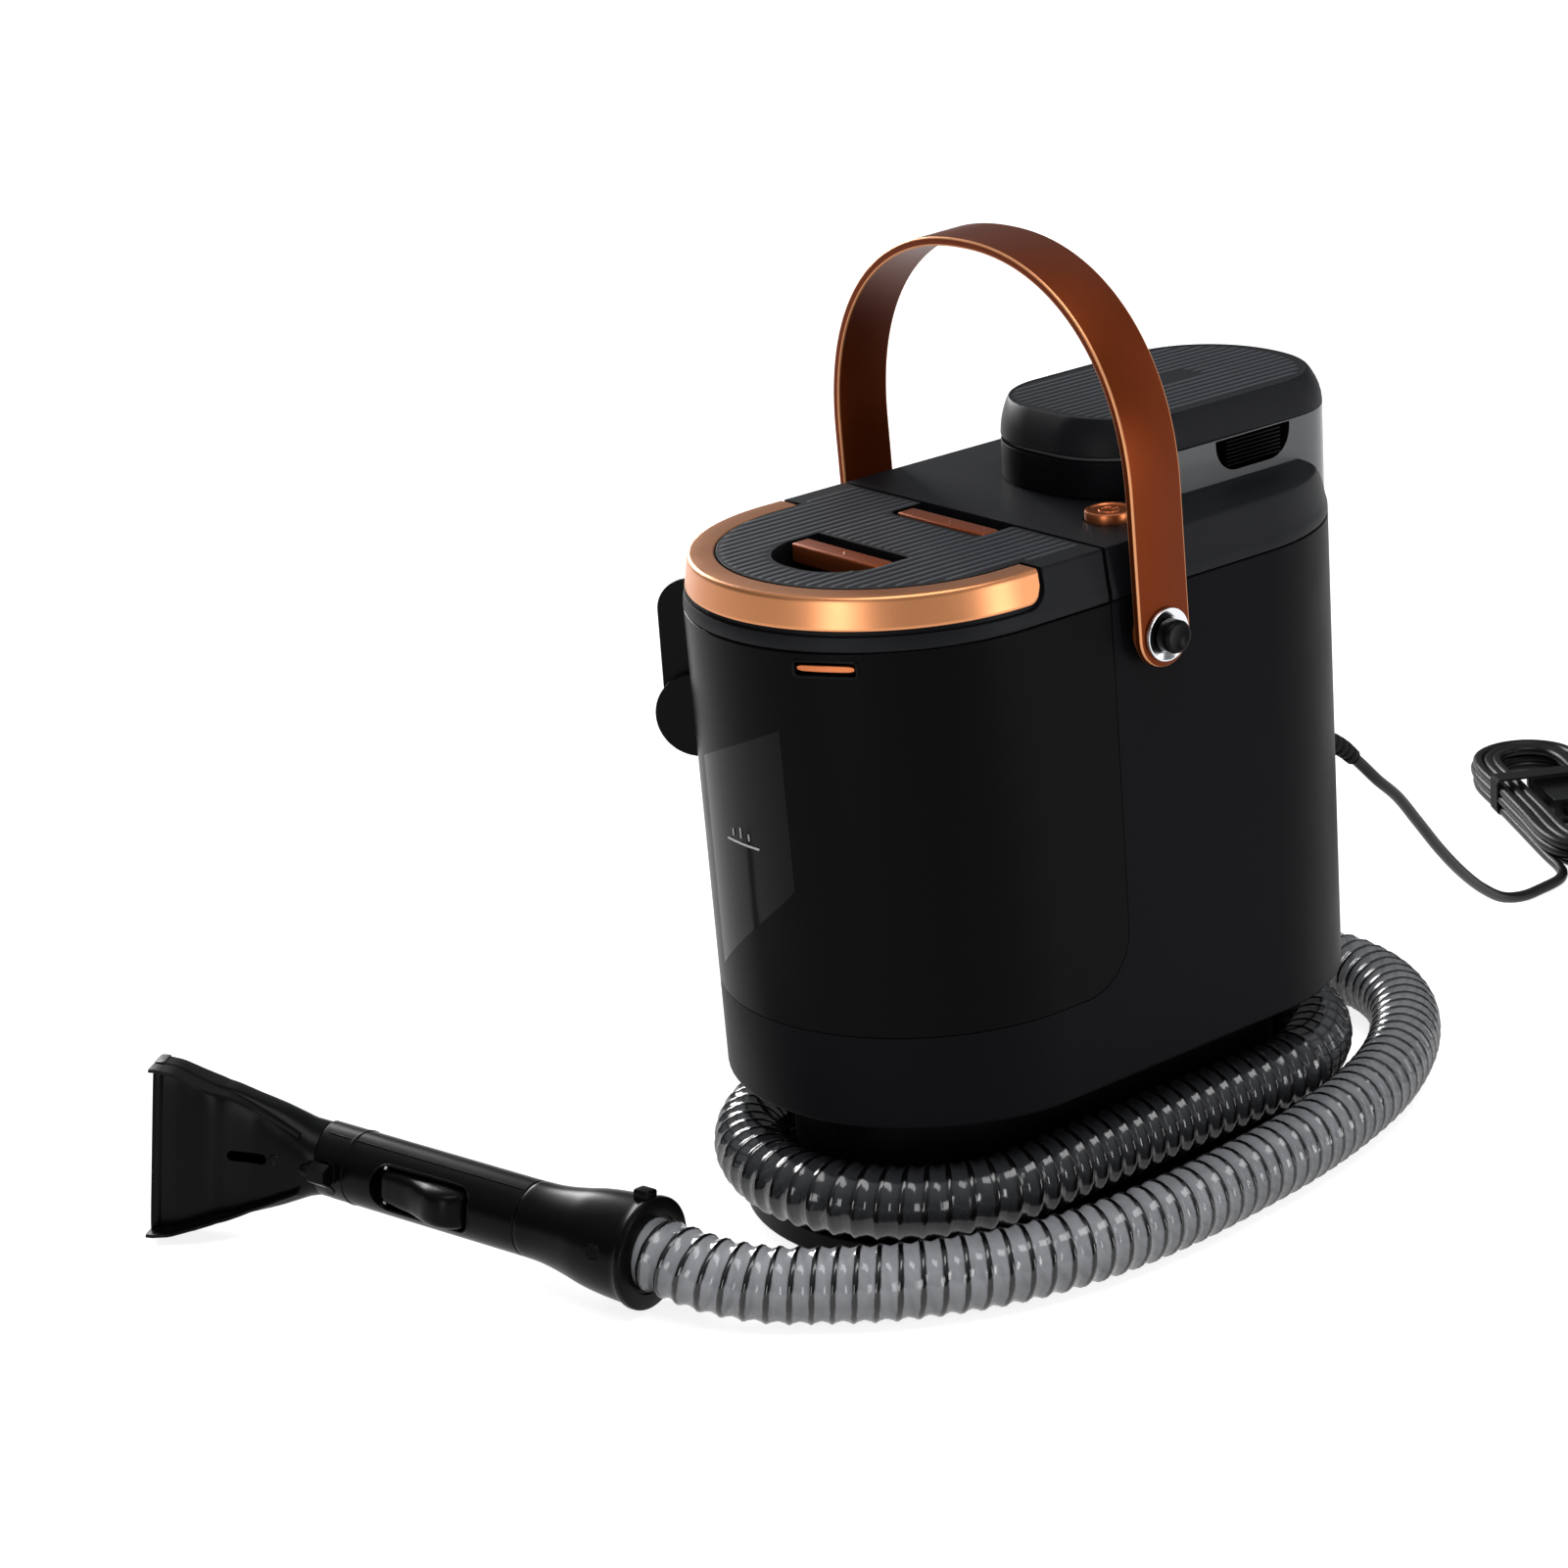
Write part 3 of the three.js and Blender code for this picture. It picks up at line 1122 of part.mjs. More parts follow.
function alongPath(points, radius, sides, steps) {
  const curve = curveOf(points);
  const section = new THREE.Shape(arc(0, 0, radius, 0, 360 - 360 / sides, sides - 1).map(([x, y]) => new THREE.Vector2(x, y)));
  return solid(new THREE.ExtrudeGeometry(section, { steps, bevelEnabled: false, extrudePath: curve }));
}

function hoseTube() {
  return alongPath([...hoseRoute, ...wrapPoints()], HOSE_R, 10, 48);
}

// Rigid elbow that joins the hose to the port in the core's rear end.
function hoseElbow() {
  const x = SEAM_REAR + CORE_R;
  const turn = arc(x, PORT_Y - PORT_BEND, PORT_BEND, 90, 0, 5).map(([px, py]) => [px, py, 32.4]);
  const lead = [[x - 9, PORT_Y, 32.4], [x - 5, PORT_Y, 32.4]];
  const tail = [3, 6].map((d) => [x + PORT_BEND, PORT_Y - PORT_BEND - d, 32.4]);
  return alongPath([...lead, ...turn, ...tail], HOSE_R - 0.6, 16, 14);
}

function hankLocal(body) {
  return body.rotate([0, 0, HANK_TURN]).translate([HANK_X, HANK_Y, 0]);
}

function cordHank() {
  const half = HANK_RUN / 2;
  const outer = prism(roundEnds(-half, half, HANK_OUT), GAP, HANK_H);
  return hankLocal(cut(outer, prism(roundEnds(-half, half, HANK_IN), -1, BIG)));
}

function plug() {
  const x = HANK_RUN / 2 - 70;
  const body = loft([
    [[x, -8, GAP], [x, 8, GAP], [x, 8, 15], [x, -8, 15]],
    [[x + PLUG_L, -12, GAP], [x + PLUG_L, 12, GAP], [x + PLUG_L, 12, 19], [x + PLUG_L, -12, 19]],
  ]);
  const blades = [-6.4, 6.4].map((y) => block(x + PLUG_L - 1, x + PLUG_L + 17, y - 0.8, y + 0.8, 6.5, 12.8));
  const lead = [[x + 1, 0, 7.6], [x - 10, -1, 6.6], [x - 24, -6, 4.6], [x - 36, -11, 3.5], [x - 50, -12.4, 3.4]];
  return hankLocal(join(body, alongPath(lead, CORD_R, 8, 10), ...blades));
}

// Tapered sleeve along the cord's first stretch, which keeps it from kinking at the rear wall.
function cordGland() {
  const curve = curveOf(cordRoute);
  const rings = [];
  for (let i = 0; i <= SLEEVE_STEPS; i++) {
    const u = (SLEEVE_L * i) / SLEEVE_STEPS / curve.getLength();
    const at = curve.getPointAt(u);
    const along = curve.getTangentAt(u);
    const up = new THREE.Vector3(-along.z, 0, along.x).normalize();
    const side = new THREE.Vector3().crossVectors(up, along);
    const r = THREE.MathUtils.lerp(GLAND_R, SLEEVE_END_R, Math.max(0, i - 2) / (SLEEVE_STEPS - 2));
    rings.push(arc(0, 0, r, 0, 337.5, 15).map(([a, b]) => at.clone().addScaledVector(side, a).addScaledVector(up, b).toArray()));
  }
  return loft(rings);
}

function mainsCord() {
  const curve = curveOf(cordRoute);
  const length = curve.getLength();
  const points = [];
  const steps = 34;
  const from = (SLEEVE_L + GAP) / length;
  for (let i = 0; i <= steps; i++) {
    points.push(curve.getPointAt(THREE.MathUtils.lerp(from, 1, i / steps)).toArray());
  }
  return alongPath(points, CORD_R, 8, 32);
}

// ---- Assembly -----------------------------------------------------------
const group = new THREE.Group();

function add(name, body, look, parent = group) {
  const mesh = new THREE.Mesh(geometryOf(body), look);
  mesh.name = name;
  parent.add(mesh);
  return mesh;
}

add("base_plate", basePlate(), black());
for (const [spot, x, y] of footSpots) {
  add("foot_" + spot, post(x, y, FOOT_R, 0, FOOT_H), rubber());
}
add("hose_wrap_core", wrapCore(), black());
add("under_pan", underPan(), charcoal());
add("main_housing", mainHousing(), charcoal());
add("inner_shelf", innerShelf(), black());
add("tank_well", tankWell(), black());
add("top_deck", topDeck(), charcoal());
add("clean_tank", cleanTank(), smoke());
add("clean_tank_lid", cleanLid(), charcoal());
add("clean_lid_seal", cleanLidSeal(), rubber());
add("clean_lid_tab", lidTab(), black());
add("lid_hinge_pin", hingePin(), steel());
add("dirty_tank", dirtyTank(), darkTank());
add("dirty_standpipe", standpipe(), black());
add("catch_frame", slotFrame(), black());
add("catch_bar", slotBar(), copper());
add("dirty_tank_lid", dirtyLid(), charcoal());
add("dirty_lid_trim", copperTrim(), copper());
add("front_pull_bar", pullBar(FRONT_BAR_X), copper());
add("rear_pull_bar", pullBar(REAR_BAR_X), copper());
add("float_cage", floatCage(), black());
add("float_ball", floatBall(), whitePlastic());
add("tool_holder", holder(), black());
add("power_button", powerButton(), copper());
add("switch_body", switchBody(), black());
add("motor_can", motorCan(), steel());
add("fan_case", fanCase(), black());
add("fan_impeller", impeller(), steel());
add("water_pump", pumpBody(), black());

const handle = new THREE.Group();
handle.position.set(PIVOT_X, 0, PIVOT_Z);
handle.rotation.y = THREE.MathUtils.degToRad(STRAP_LEAN);
group.add(handle);
const handleInner = new THREE.Group();
handleInner.position.set(-PIVOT_X, 0, -PIVOT_Z);
handle.add(handleInner);
add("handle_strap", handleStrap(), copper(), handleInner);
add("handle_washer_near", washer(-1), chrome(), handleInner);
add("handle_washer_far", washer(1), chrome(), handleInner);
add("pivot_knob_near", pivotKnob(-1), black());
add("pivot_knob_far", pivotKnob(1), black());

const tool = new THREE.Group();
tool.position.set(TOOL_X, TOOL_Y, CUFF_R * Math.cos(THREE.MathUtils.degToRad(TOOL_PITCH)));
tool.rotation.set(THREE.MathUtils.degToRad(TOOL_PITCH), 0, THREE.MathUtils.degToRad(TOOL_TURN), "ZYX");
group.add(tool);
const spun = new THREE.Group();
spun.rotation.y = THREE.MathUtils.degToRad(TOOL_ROLL);
tool.add(spun);
add("tool_cuff", toolCuff(), black(), spun);
add("tool_grip", toolGrip(), black(), spun);
add("tool_trigger", toolTrigger(), black(), spun);
add("tool_trigger_pin", triggerPin(), steel(), spun);
add("spray_jet", sprayJet(), black(), spun);
const head = new THREE.Group();
head.position.set(0, CUFF_L + GRIP_L, 0);
head.rotation.set(THREE.MathUtils.degToRad(NOZZLE_PITCH), 0, THREE.MathUtils.degToRad(NECK_BEND), "ZYX");
spun.add(head);
add("tool_nozzle", toolNozzle(), black(), head);

add("hose_tube", hoseTube(), smoke());
add("hose_elbow", hoseElbow(), black());
add("mains_cord", mainsCord(), black());
add("cord_hank", cordHank(), black());
add("mains_plug", plug(), black());
add("cord_gland", cordGland(), rubber());

export default group;
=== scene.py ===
"""Looks of the spot extractor: a portable carpet and upholstery spot cleaner. Sizes are in millimetres
until a mesh is made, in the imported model's frame: +X rear, -X nose, -Y near side, +Z up."""
import math

import bmesh
import bpy
import numpy as np
from mathutils import Matrix, Vector


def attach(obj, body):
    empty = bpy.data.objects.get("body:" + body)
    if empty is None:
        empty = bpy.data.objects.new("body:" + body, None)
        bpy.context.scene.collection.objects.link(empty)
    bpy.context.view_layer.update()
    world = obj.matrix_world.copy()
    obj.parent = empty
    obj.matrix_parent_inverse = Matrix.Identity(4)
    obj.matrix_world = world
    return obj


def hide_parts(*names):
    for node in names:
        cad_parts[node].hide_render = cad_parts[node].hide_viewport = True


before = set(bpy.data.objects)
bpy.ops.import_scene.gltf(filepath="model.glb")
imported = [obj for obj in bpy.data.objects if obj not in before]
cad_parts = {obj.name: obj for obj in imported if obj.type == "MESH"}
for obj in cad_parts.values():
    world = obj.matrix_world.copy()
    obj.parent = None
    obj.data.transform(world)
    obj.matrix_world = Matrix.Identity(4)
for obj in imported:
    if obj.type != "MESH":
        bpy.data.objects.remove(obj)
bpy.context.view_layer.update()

MM = 0.001
TAU = 2 * math.pi
FAR = 400.0  # further out than any surface of the body, for cutting shapes


# ---------------------------------------------------------------- camera
def make_camera():
    """A 90 mm lens on a 36 mm sensor, looking down at the nose and the near side."""
    data = bpy.data.cameras.new("camera")
    data.sensor_width = 36.0
    data.lens = 90.097
    data.shift_x = 0.00537
    data.shift_y = -0.00162
    data.clip_start = 0.05
    data.clip_end = 60.0
    cam = bpy.data.objects.new("camera", data)
    bpy.context.scene.collection.objects.link(cam)
    right = Vector((0.778825, -0.623345, -0.069800))
    up = Vector((0.260497, 0.220213, 0.940025))
    back = Vector((-0.570590, -0.750298, 0.333887))
    turn = Matrix((right, up, back)).transposed().to_4x4()
    cam.matrix_world = Matrix.Translation(Vector((-1.17265, -1.34486, 0.82943))) @ turn
    bpy.context.scene.camera = cam


make_camera()


# ---------------------------------------------------------------- mesh helpers
def mesh_object(name, verts, faces, sharp=35.0):
    """Object from points in millimetres and faces, smooth except across edges sharper than an angle."""
    me = bpy.data.meshes.new(name)
    me.from_pydata((np.asarray(verts, float) * MM).tolist(), [], faces)
    me.update()
    bm = bmesh.new()
    bm.from_mesh(me)
    bmesh.ops.recalc_face_normals(bm, faces=bm.faces)
    bm.to_mesh(me)
    bm.free()
    ob = bpy.data.objects.new(name, me)
    bpy.context.scene.collection.objects.link(ob)
    shade(ob, sharp)
    return ob


def shade(ob, sharp=35.0):
    """Smooth shading with sharp edges above the given angle in degrees."""
    me = ob.data
    me.polygons.foreach_set("use_smooth", np.ones(len(me.polygons), bool))
    me.set_sharp_from_angle(angle=math.radians(sharp))
    me.update()


def grid_faces(rows, cols):
    """Quads between neighbouring rows of a grid of points, each row closed round."""
    row = (np.arange(rows - 1) * cols)[:, None]
    here = np.arange(cols)
    ahead = (here + 1) % cols
    corners = (row + here, row + ahead, row + cols + ahead, row + cols + here)
    return np.stack(corners, -1).reshape(-1, 4).tolist()


def loft(name, rings, caps=True, sharp=35.0):
    """Skin through rings of equal point count, with flat caps on the first and last ring."""
    rings = np.asarray(rings, float)
    k, n = rings.shape[:2]
    faces = grid_faces(k, n)
    if caps:
        faces += [tuple(range(n - 1, -1, -1)), tuple(range((k - 1) * n, k * n))]
    return mesh_object(name, rings.reshape(-1, 3), faces, sharp)


def lathe(name, profile, centre=(0, 0, 0), axis="Z", n=64, sharp=35.0):
    """Surface of revolution: each (radius, height) pair of the profile swept round an axis."""
    t = np.linspace(0, TAU, n, endpoint=False)
    r, h = np.array(profile, float).T[:, :, None]
    r = np.maximum(r, 0.001)
    c, s, z = r * np.cos(t), r * np.sin(t), h + 0 * t
    order = {"Z": (c, s, z), "Y": (s, z, c), "X": (z, c, s)}[axis]
    return loft(name, np.stack(order, -1) + np.array(centre, float), True, sharp)


def arc(cx, cy, r, a0, a1, n):
    """Points of a circular arc from angle a0 to a1 in degrees."""
    t = np.radians(np.linspace(a0, a1, n))
    return np.stack([cx + r * np.cos(t), cy + r * np.sin(t)], 1)


def at_level(plan, z):
    """A plan outline lifted to level z."""
    return np.column_stack([plan, np.full(len(plan), float(z))])


def prism(name, plan, z0, z1):
    """Upright prism of a plan outline."""
    return loft(name, [at_level(plan, z0), at_level(plan, z1)])


def prism_y(name, side, y0, y1):
    """Prism along Y of an outline given as (x, z) pairs."""
    side = np.asarray(side, float)
    rings = [np.column_stack([side[:, 0], np.full(len(side), float(y)), side[:, 1]]) for y in (y0, y1)]
    return loft(name, rings)


def box(name, x0, x1, y0, y1, z0, z1, bevel=0.0, segments=3):
    """A box with evenly rounded edges."""
    v = [(x, y, z) for x in (x0, x1) for y in (y0, y1) for z in (z0, z1)]
    f = [(0, 1, 3, 2), (4, 6, 7, 5), (0, 4, 5, 1), (2, 3, 7, 6), (0, 2, 6, 4), (1, 5, 7, 3)]
    ob = mesh_object(name, v, f)
    if bevel:
        round_edges(ob, bevel, segments)
    return ob


def slab(name, x0, x1):
    """A box between two stations along X, larger than the body along Y and Z."""
    return box(name, x0, x1, -FAR / 2, FAR / 2, 0, FAR + 100)


def round_edges(ob, width, segments=3, angle=30.0):
    """Rounds every edge sharper than an angle, in place."""
    bm = bmesh.new()
    bm.from_mesh(ob.data)
    edges = [e for e in bm.edges if len(e.link_faces) == 2 and e.calc_face_angle(0) > math.radians(angle)]
    bmesh.ops.bevel(bm, geom=edges, offset=width * MM, segments=segments, profile=0.5, affect="EDGES",
                    clamp_overlap=True)
    bm.to_mesh(ob.data)
    bm.free()
    shade(ob, 40)


def boolean(ob, tool, operation="DIFFERENCE"):
    """Joins, cuts or intersects two closed meshes, and removes the tool object."""
    mod = ob.modifiers.new("cut", "BOOLEAN")
    mod.operation = operation
    mod.solver = "EXACT"
    mod.object = tool
    deps = bpy.context.evaluated_depsgraph_get()
    done = bpy.data.meshes.new_from_object(ob.evaluated_get(deps))
    old = ob.data
    ob.modifiers.clear()
    ob.data = done
    bpy.data.meshes.remove(old)
    bpy.data.objects.remove(tool)
    return ob


def cut(ob, *tools):
    """Takes the tools' volumes out of a mesh, one after another."""
    for tool in tools:
        boolean(ob, tool)
    return ob


def join(ob, *others):
    """Puts several separate meshes in one object, without merging their surfaces."""
    bm = bmesh.new()
    for one in (ob, *others):
        bm.from_mesh(one.data)
    bm.to_mesh(ob.data)
    bm.free()
    for one in others:
        bpy.data.objects.remove(one)
    return ob


def place(ob, matrix):
    """Moves a mesh's points by a matrix given in millimetres; the object stays at the origin."""
    m = matrix.copy()
    m.translation = m.translation * MM
    ob.data.transform(m)
    return ob


def mark_points(ob, name, values):
    """Stores one number for each point of a mesh as a named attribute."""
    field = ob.data.attributes.new(name, "FLOAT", "POINT")
    field.data.foreach_set("value", np.asarray(values, float).ravel())


def turned(axis, degrees):
    """Matrix that turns about an axis through the origin."""
    return Matrix.Rotation(math.radians(degrees), 4, axis)


def clean_shading(ob, sharp=30.0):
    """Sharp edges by angle, and normals weighted by face area, for a mesh that was cut."""
    bm = bmesh.new()
    bm.from_mesh(ob.data)
    bmesh.ops.remove_doubles(bm, verts=bm.verts, dist=0.00001)
    bmesh.ops.dissolve_degenerate(bm, edges=bm.edges, dist=0.00001)
    bm.to_mesh(ob.data)
    bm.free()
    shade(ob, sharp)
    mod = ob.modifiers.new("normals", "WEIGHTED_NORMAL")
    mod.keep_sharp = True
    mod.weight = 80
    return ob


def piece(ob, body, material, slot, *nodes):
    """Gives a finished piece its material, its body and the nodes it stands for, which it hides; its slot is
    not used.
    """
    ob.data.materials.clear()
    ob.data.materials.append(material)
    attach(ob, body)
    if nodes:
        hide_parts(*nodes)
    return ob


# ---------------------------------------------------------------- routes of the hose and the cord
CORD_R = 3.1
HOSE_R = 18.4
SEAM_NOSE, SEAM_REAR, CORE_R, GROOVE_R = -76.5, 76.5, 61.0, 83.0
PORT_Y, PORT_BEND = 18.0, 22.0
HOSE_LEVEL, HOSE_PITCH = 32.4, 9.5
HANK = (512.0, 104.0, 60.0)
CORD_Y = -10.0

HOSE_ROUTE = [
    (-246.9, 6, 27.5), (-245.4, 1.1, 27.2), (-243.7, -4.5, 27), (-240.6, -14, 26), (-232.5, -34, 22.4),
    (-218, -55, 19.6), (-197, -76, 19), (-176, -94, 19), (-152, -109, 19), (-127, -120.5, 19),
    (-98, -129, 19), (-66, -133.5, 19), (-30, -134.5, 19), (8, -132, 19), (52, -127, 19), (96, -117, 19),
    (138, -102, 19), (178, -78, 19), (208, -48, 19), (224, -14, 19), (226, 22, 19), (214, 56, 20),
    (190, 82, 23), (158, 97, 27), (124, 98, 31), (98, 90, 32.2), (72, 84, 32.4), (36, 83, 32.4),
    (0, 83, 32.4), (-36, 83, 32.4),
]
CORD_ROUTE = [
    (209, -10, 152), (222, -9, 140.5), (236, -8, 127), (254, -5, 112),
    (276, 1, 90), (300, 8, 66), (326, 16, 43), (352, 24, 23.5), (376, 30, 9.5), (396, 32.4, 4),
    (412, 33.4, 3.4), (422.9, 34.2, 3.4), (429.3, 35.6, 3.4), (436.8, 40, 3.4), (443, 47.8, 3.4),
]


def hose_points():
    """The hose's route: the outer run, then once round the groove to the port's elbow."""
    wrap = arc(SEAM_NOSE, 0, GROOVE_R, 90, 270, 13)
    back = [(x, -GROOVE_R) for x in (-36, 0, 36)]
    tail = arc(SEAM_REAR, 0, GROOVE_R, 270, 344, 6)
    x = SEAM_REAR + CORE_R + PORT_BEND
    y = PORT_Y - PORT_BEND - 6.3
    around = np.vstack([wrap, back, tail, [(x, y - 4), (x, y)]])
    return HOSE_ROUTE + [tuple(p) for p in at_level(around, HOSE_LEVEL)]


def spline(points, step):
    """Centripetal Catmull-Rom curve through the points, resampled at equal steps of its length."""
    p = np.asarray(points, float)
    p = np.vstack([2 * p[0] - p[1], p, 2 * p[-1] - p[-2]])
    out = []
    for i in range(1, len(p) - 2):
        q = p[i - 1:i + 3]
        t = np.concatenate([[0], np.cumsum(np.sqrt(np.linalg.norm(np.diff(q, axis=0), axis=1)))])
        u = np.linspace(t[1], t[2], 24, endpoint=False)[:, None]
        a = [((t[k + 1] - u) * q[k] + (u - t[k]) * q[k + 1]) / (t[k + 1] - t[k]) for k in range(3)]
        b = [((t[k + 2] - u) * a[k] + (u - t[k]) * a[k + 1]) / (t[k + 2] - t[k]) for k in range(2)]
        out.append(((t[2] - u) * b[0] + (u - t[1]) * b[1]) / (t[2] - t[1]))
    out = np.vstack(out + [p[-2][None]])
    s = np.concatenate([[0], np.cumsum(np.linalg.norm(np.diff(out, axis=0), axis=1))])
    want = np.linspace(0, s[-1], int(round(s[-1] / step)) + 1)
    return np.stack([np.interp(want, s, out[:, k]) for k in range(3)], 1), want


def frames_along(path):
    """Tangents and a pair of normals carried along a path without twist."""
    tan = np.gradient(path, axis=0)
    tan /= np.linalg.norm(tan, axis=1)[:, None]
    n = np.cross(tan[0], (0, 0, 1.0))
    if np.linalg.norm(n) < 1e-3:
        n = np.cross(tan[0], (0, 1.0, 0))
    normals = []
    for t in tan:
        n = n - t * np.dot(n, t)
        n /= np.linalg.norm(n)
        normals.append(n.copy())
    normals = np.array(normals)
    return tan, normals, np.cross(tan, normals)


def tube(name, path, radius, sides=16, attribute=None, sharp=60.0):
    """Round tube: a circle of the given radius, or radius field, swept along a path."""
    _, n, b = frames_along(path)
    t = np.linspace(0, TAU, sides, endpoint=False)
    r = np.broadcast_to(radius, (len(path), sides))[:, :, None]
    ring = n[:, None] * np.cos(t)[None, :, None] + b[:, None] * np.sin(t)[None, :, None]
    ob = loft(name, path[:, None] + ring * r, True, sharp)
    if attribute is not None:
        mark_points(ob, *attribute)
    return ob


def hose_mesh():
    """Corrugated hose: its radius follows a helix, high on the narrow rib and low in the soft wall."""
    sides = 28
    wall_low, wall_swell, rib_height, rib_reach = 2.1, 1.0, 0.9, 0.16
    shade_start, shade_length = 120, 780
    path, s = spline(hose_points(), HOSE_PITCH / 10)
    t = np.linspace(0, TAU, sides, endpoint=False)
    phase = (s[:, None] / HOSE_PITCH + t[None, :] / TAU) % 1.0
    wave = 0.5 - 0.5 * np.cos(TAU * phase)
    rib = np.clip(1 - np.abs(phase - 0.5) / rib_reach, 0, 1) ** 0.6
    radius = HOSE_R - wall_low + wall_swell * np.sqrt(wave) + rib_height * rib
    ob = tube("hose", path, radius, sides, ("rib", rib), 75)
    # The run attribute, 0 near the tool and 1 round the wrap, drives the wall's painted shade.
    mark_points(ob, "run", np.repeat(np.clip((s - shade_start) / shade_length, 0, 1), sides))
    return ob, path


def hank_path():
    """The cord's nine turns of an oval, three abreast in three layers, each easing into the next."""
    radii, half, pitch, rest = (32, 25.7, 19.4), 62.0, 6.05, 3.4
    turns = [(r, layer) for layer in range(3) for r in (radii[::-1] if layer == 1 else radii)]
    along = (-half, -half / 3, half / 3, half)
    oval = [(x, 90) for x in along] + [(half, a) for a in (54, 18, -18, -54)]
    oval += [(x, -90) for x in along[::-1]] + [(-half, a) for a in (-126, -162, -198, -234)]
    points = []
    for (r, layer), (r2, layer2) in zip(turns, turns[1:] + turns[-1:]):
        for k, (x, angle) in enumerate(oval):
            t = k / len(oval)
            radius, level = r + (r2 - r) * t, layer + (layer2 - layer) * t
            a = math.radians(angle)
            points.append((x + radius * math.cos(a), radius * math.sin(a), rest + pitch * level))
    points += [(-half, radii[-1], rest + 2 * pitch), (-40, 17, 13.5), (-30, 6, 9), (-44, -10, 5)]
    x0, y0, turn = HANK
    c, s = math.cos(math.radians(turn)), math.sin(math.radians(turn))
    return [(x0 + x * c - y * s, y0 + x * s + y * c, z) for x, y, z in points]


# ---------------------------------------------------------------- materials
def new_material(name):
    """An empty node material with its Principled shader and output."""
    mat = bpy.data.materials.new(name)
    mat.use_nodes = True
    nt = mat.node_tree
    nt.nodes.clear()
    out = nt.nodes.new("ShaderNodeOutputMaterial")
    bsdf = nt.nodes.new("ShaderNodeBsdfPrincipled")
    nt.links.new(bsdf.outputs[0], out.inputs[0])
    return mat, nt, bsdf


def node(nt, kind, **values):
    """A shader node with its properties and unlinked inputs set."""
    n = nt.nodes.new(kind)
    for key, value in values.items():
        if hasattr(n, key):
            setattr(n, key, value)
        else:
            n.inputs[key.replace("_", " ")].default_value = value
    return n


def mix_colours(nt, factor, low, high):
    """Output of a mix that runs from one colour to another with a factor; a colour may be a socket."""
    mix = node(nt, "ShaderNodeMix", data_type="RGBA")
    nt.links.new(factor, mix.inputs[0])
    for slot, colour in ((6, low), (7, high)):
        if isinstance(colour, tuple):
            mix.inputs[slot].default_value = (*colour, 1)
        else:
            nt.links.new(colour, mix.inputs[slot])
    return mix.outputs[2]


def map_range(nt, source, low, high, start=0.0, end=1.0):
    """Output of a map that carries the span from start to end over to the span from low to high."""
    span = node(nt, "ShaderNodeMapRange")
    for slot, value in enumerate((start, end, low, high), 1):
        span.inputs[slot].default_value = value
    nt.links.new(source, span.inputs[0])
    return span.outputs[0]


def mottle(nt, scale):
    """The grain group placed in a material, with its grain's scale."""
    g = node(nt, "ShaderNodeGroup")
    g.node_tree = GRAIN
    g.inputs["Scale"].default_value = scale
    return g


def spread_of(colour, share):
    """A colour made darker and lighter by a share."""
    return [tuple(c * k for c in colour) for k in (1 - share, 1 + share)]


def grain_group():
    """Node group: a broad mottle for colour and roughness, and a fine moulded grain for bump."""
    g = bpy.data.node_groups.new("moulded_grain", "ShaderNodeTree")
    face = g.interface
    scale = face.new_socket(name="Scale", in_out="INPUT", socket_type="NodeSocketFloat")
    scale.default_value = 1.0
    face.new_socket(name="Mottle", in_out="OUTPUT", socket_type="NodeSocketFloat")
    face.new_socket(name="Grain", in_out="OUTPUT", socket_type="NodeSocketFloat")
    gin, gout = g.nodes.new("NodeGroupInput"), g.nodes.new("NodeGroupOutput")
    coord = g.nodes.new("ShaderNodeTexCoord")
    broad = node(g, "ShaderNodeTexNoise", Scale=22.0, Detail=4.0, Roughness=0.6)
    mult = node(g, "ShaderNodeMath", operation="MULTIPLY")
    mult.inputs[1].default_value = 2600.0
    fine = node(g, "ShaderNodeTexNoise", Detail=2.0, Roughness=0.5)
    g.links.new(coord.outputs["Object"], broad.inputs["Vector"])
    g.links.new(coord.outputs["Object"], fine.inputs["Vector"])
    g.links.new(gin.outputs["Scale"], mult.inputs[0])
    g.links.new(mult.outputs[0], fine.inputs["Scale"])
    g.links.new(broad.outputs["Fac"], gout.inputs["Mottle"])
    g.links.new(fine.outputs["Fac"], gout.inputs["Grain"])
    return g


GRAIN = grain_group()


def plastic(name, colour, rough, grain=1.0, strength=0.08, metallic=0.0, specular=0.1, spread=0.12, edge=0.4):
    """Moulded or painted surface: mottled colour and roughness, fine grain, softened edges."""
    mat, nt, bsdf = new_material(name)
    g = mottle(nt, grain)
    tone = g.outputs["Mottle"]
    nt.links.new(mix_colours(nt, tone, *spread_of(colour, spread)), bsdf.inputs["Base Color"])
    nt.links.new(map_range(nt, tone, rough * 0.92, rough * 1.08, 0.3, 0.7), bsdf.inputs["Roughness"])
    bev = node(nt, "ShaderNodeBevel", samples=4)
    bev.inputs["Radius"].default_value = edge * MM
    bump = node(nt, "ShaderNodeBump", Strength=strength, Distance=0.0002)
    nt.links.new(g.outputs["Grain"], bump.inputs["Height"])
    nt.links.new(bev.outputs[0], bump.inputs["Normal"])
    nt.links.new(bump.outputs[0], bsdf.inputs["Normal"])
    bsdf.inputs["Metallic"].default_value = metallic
    bsdf.inputs["Specular IOR Level"].default_value = specular
    return mat


def glassy(name, colour, rough, alpha, specular=0.3):
    """Smoke-grey clear plastic: a tinted see-through wall with a glossy face."""
    mat, nt, bsdf = new_material(name)
    tone = mottle(nt, 0.2).outputs["Mottle"]
    nt.links.new(mix_colours(nt, tone, *spread_of(colour, 0.05)), bsdf.inputs["Base Color"])
    bsdf.inputs["Roughness"].default_value = rough
    bsdf.inputs["Alpha"].default_value = alpha
    bsdf.inputs["Specular IOR Level"].default_value = specular
    return mat


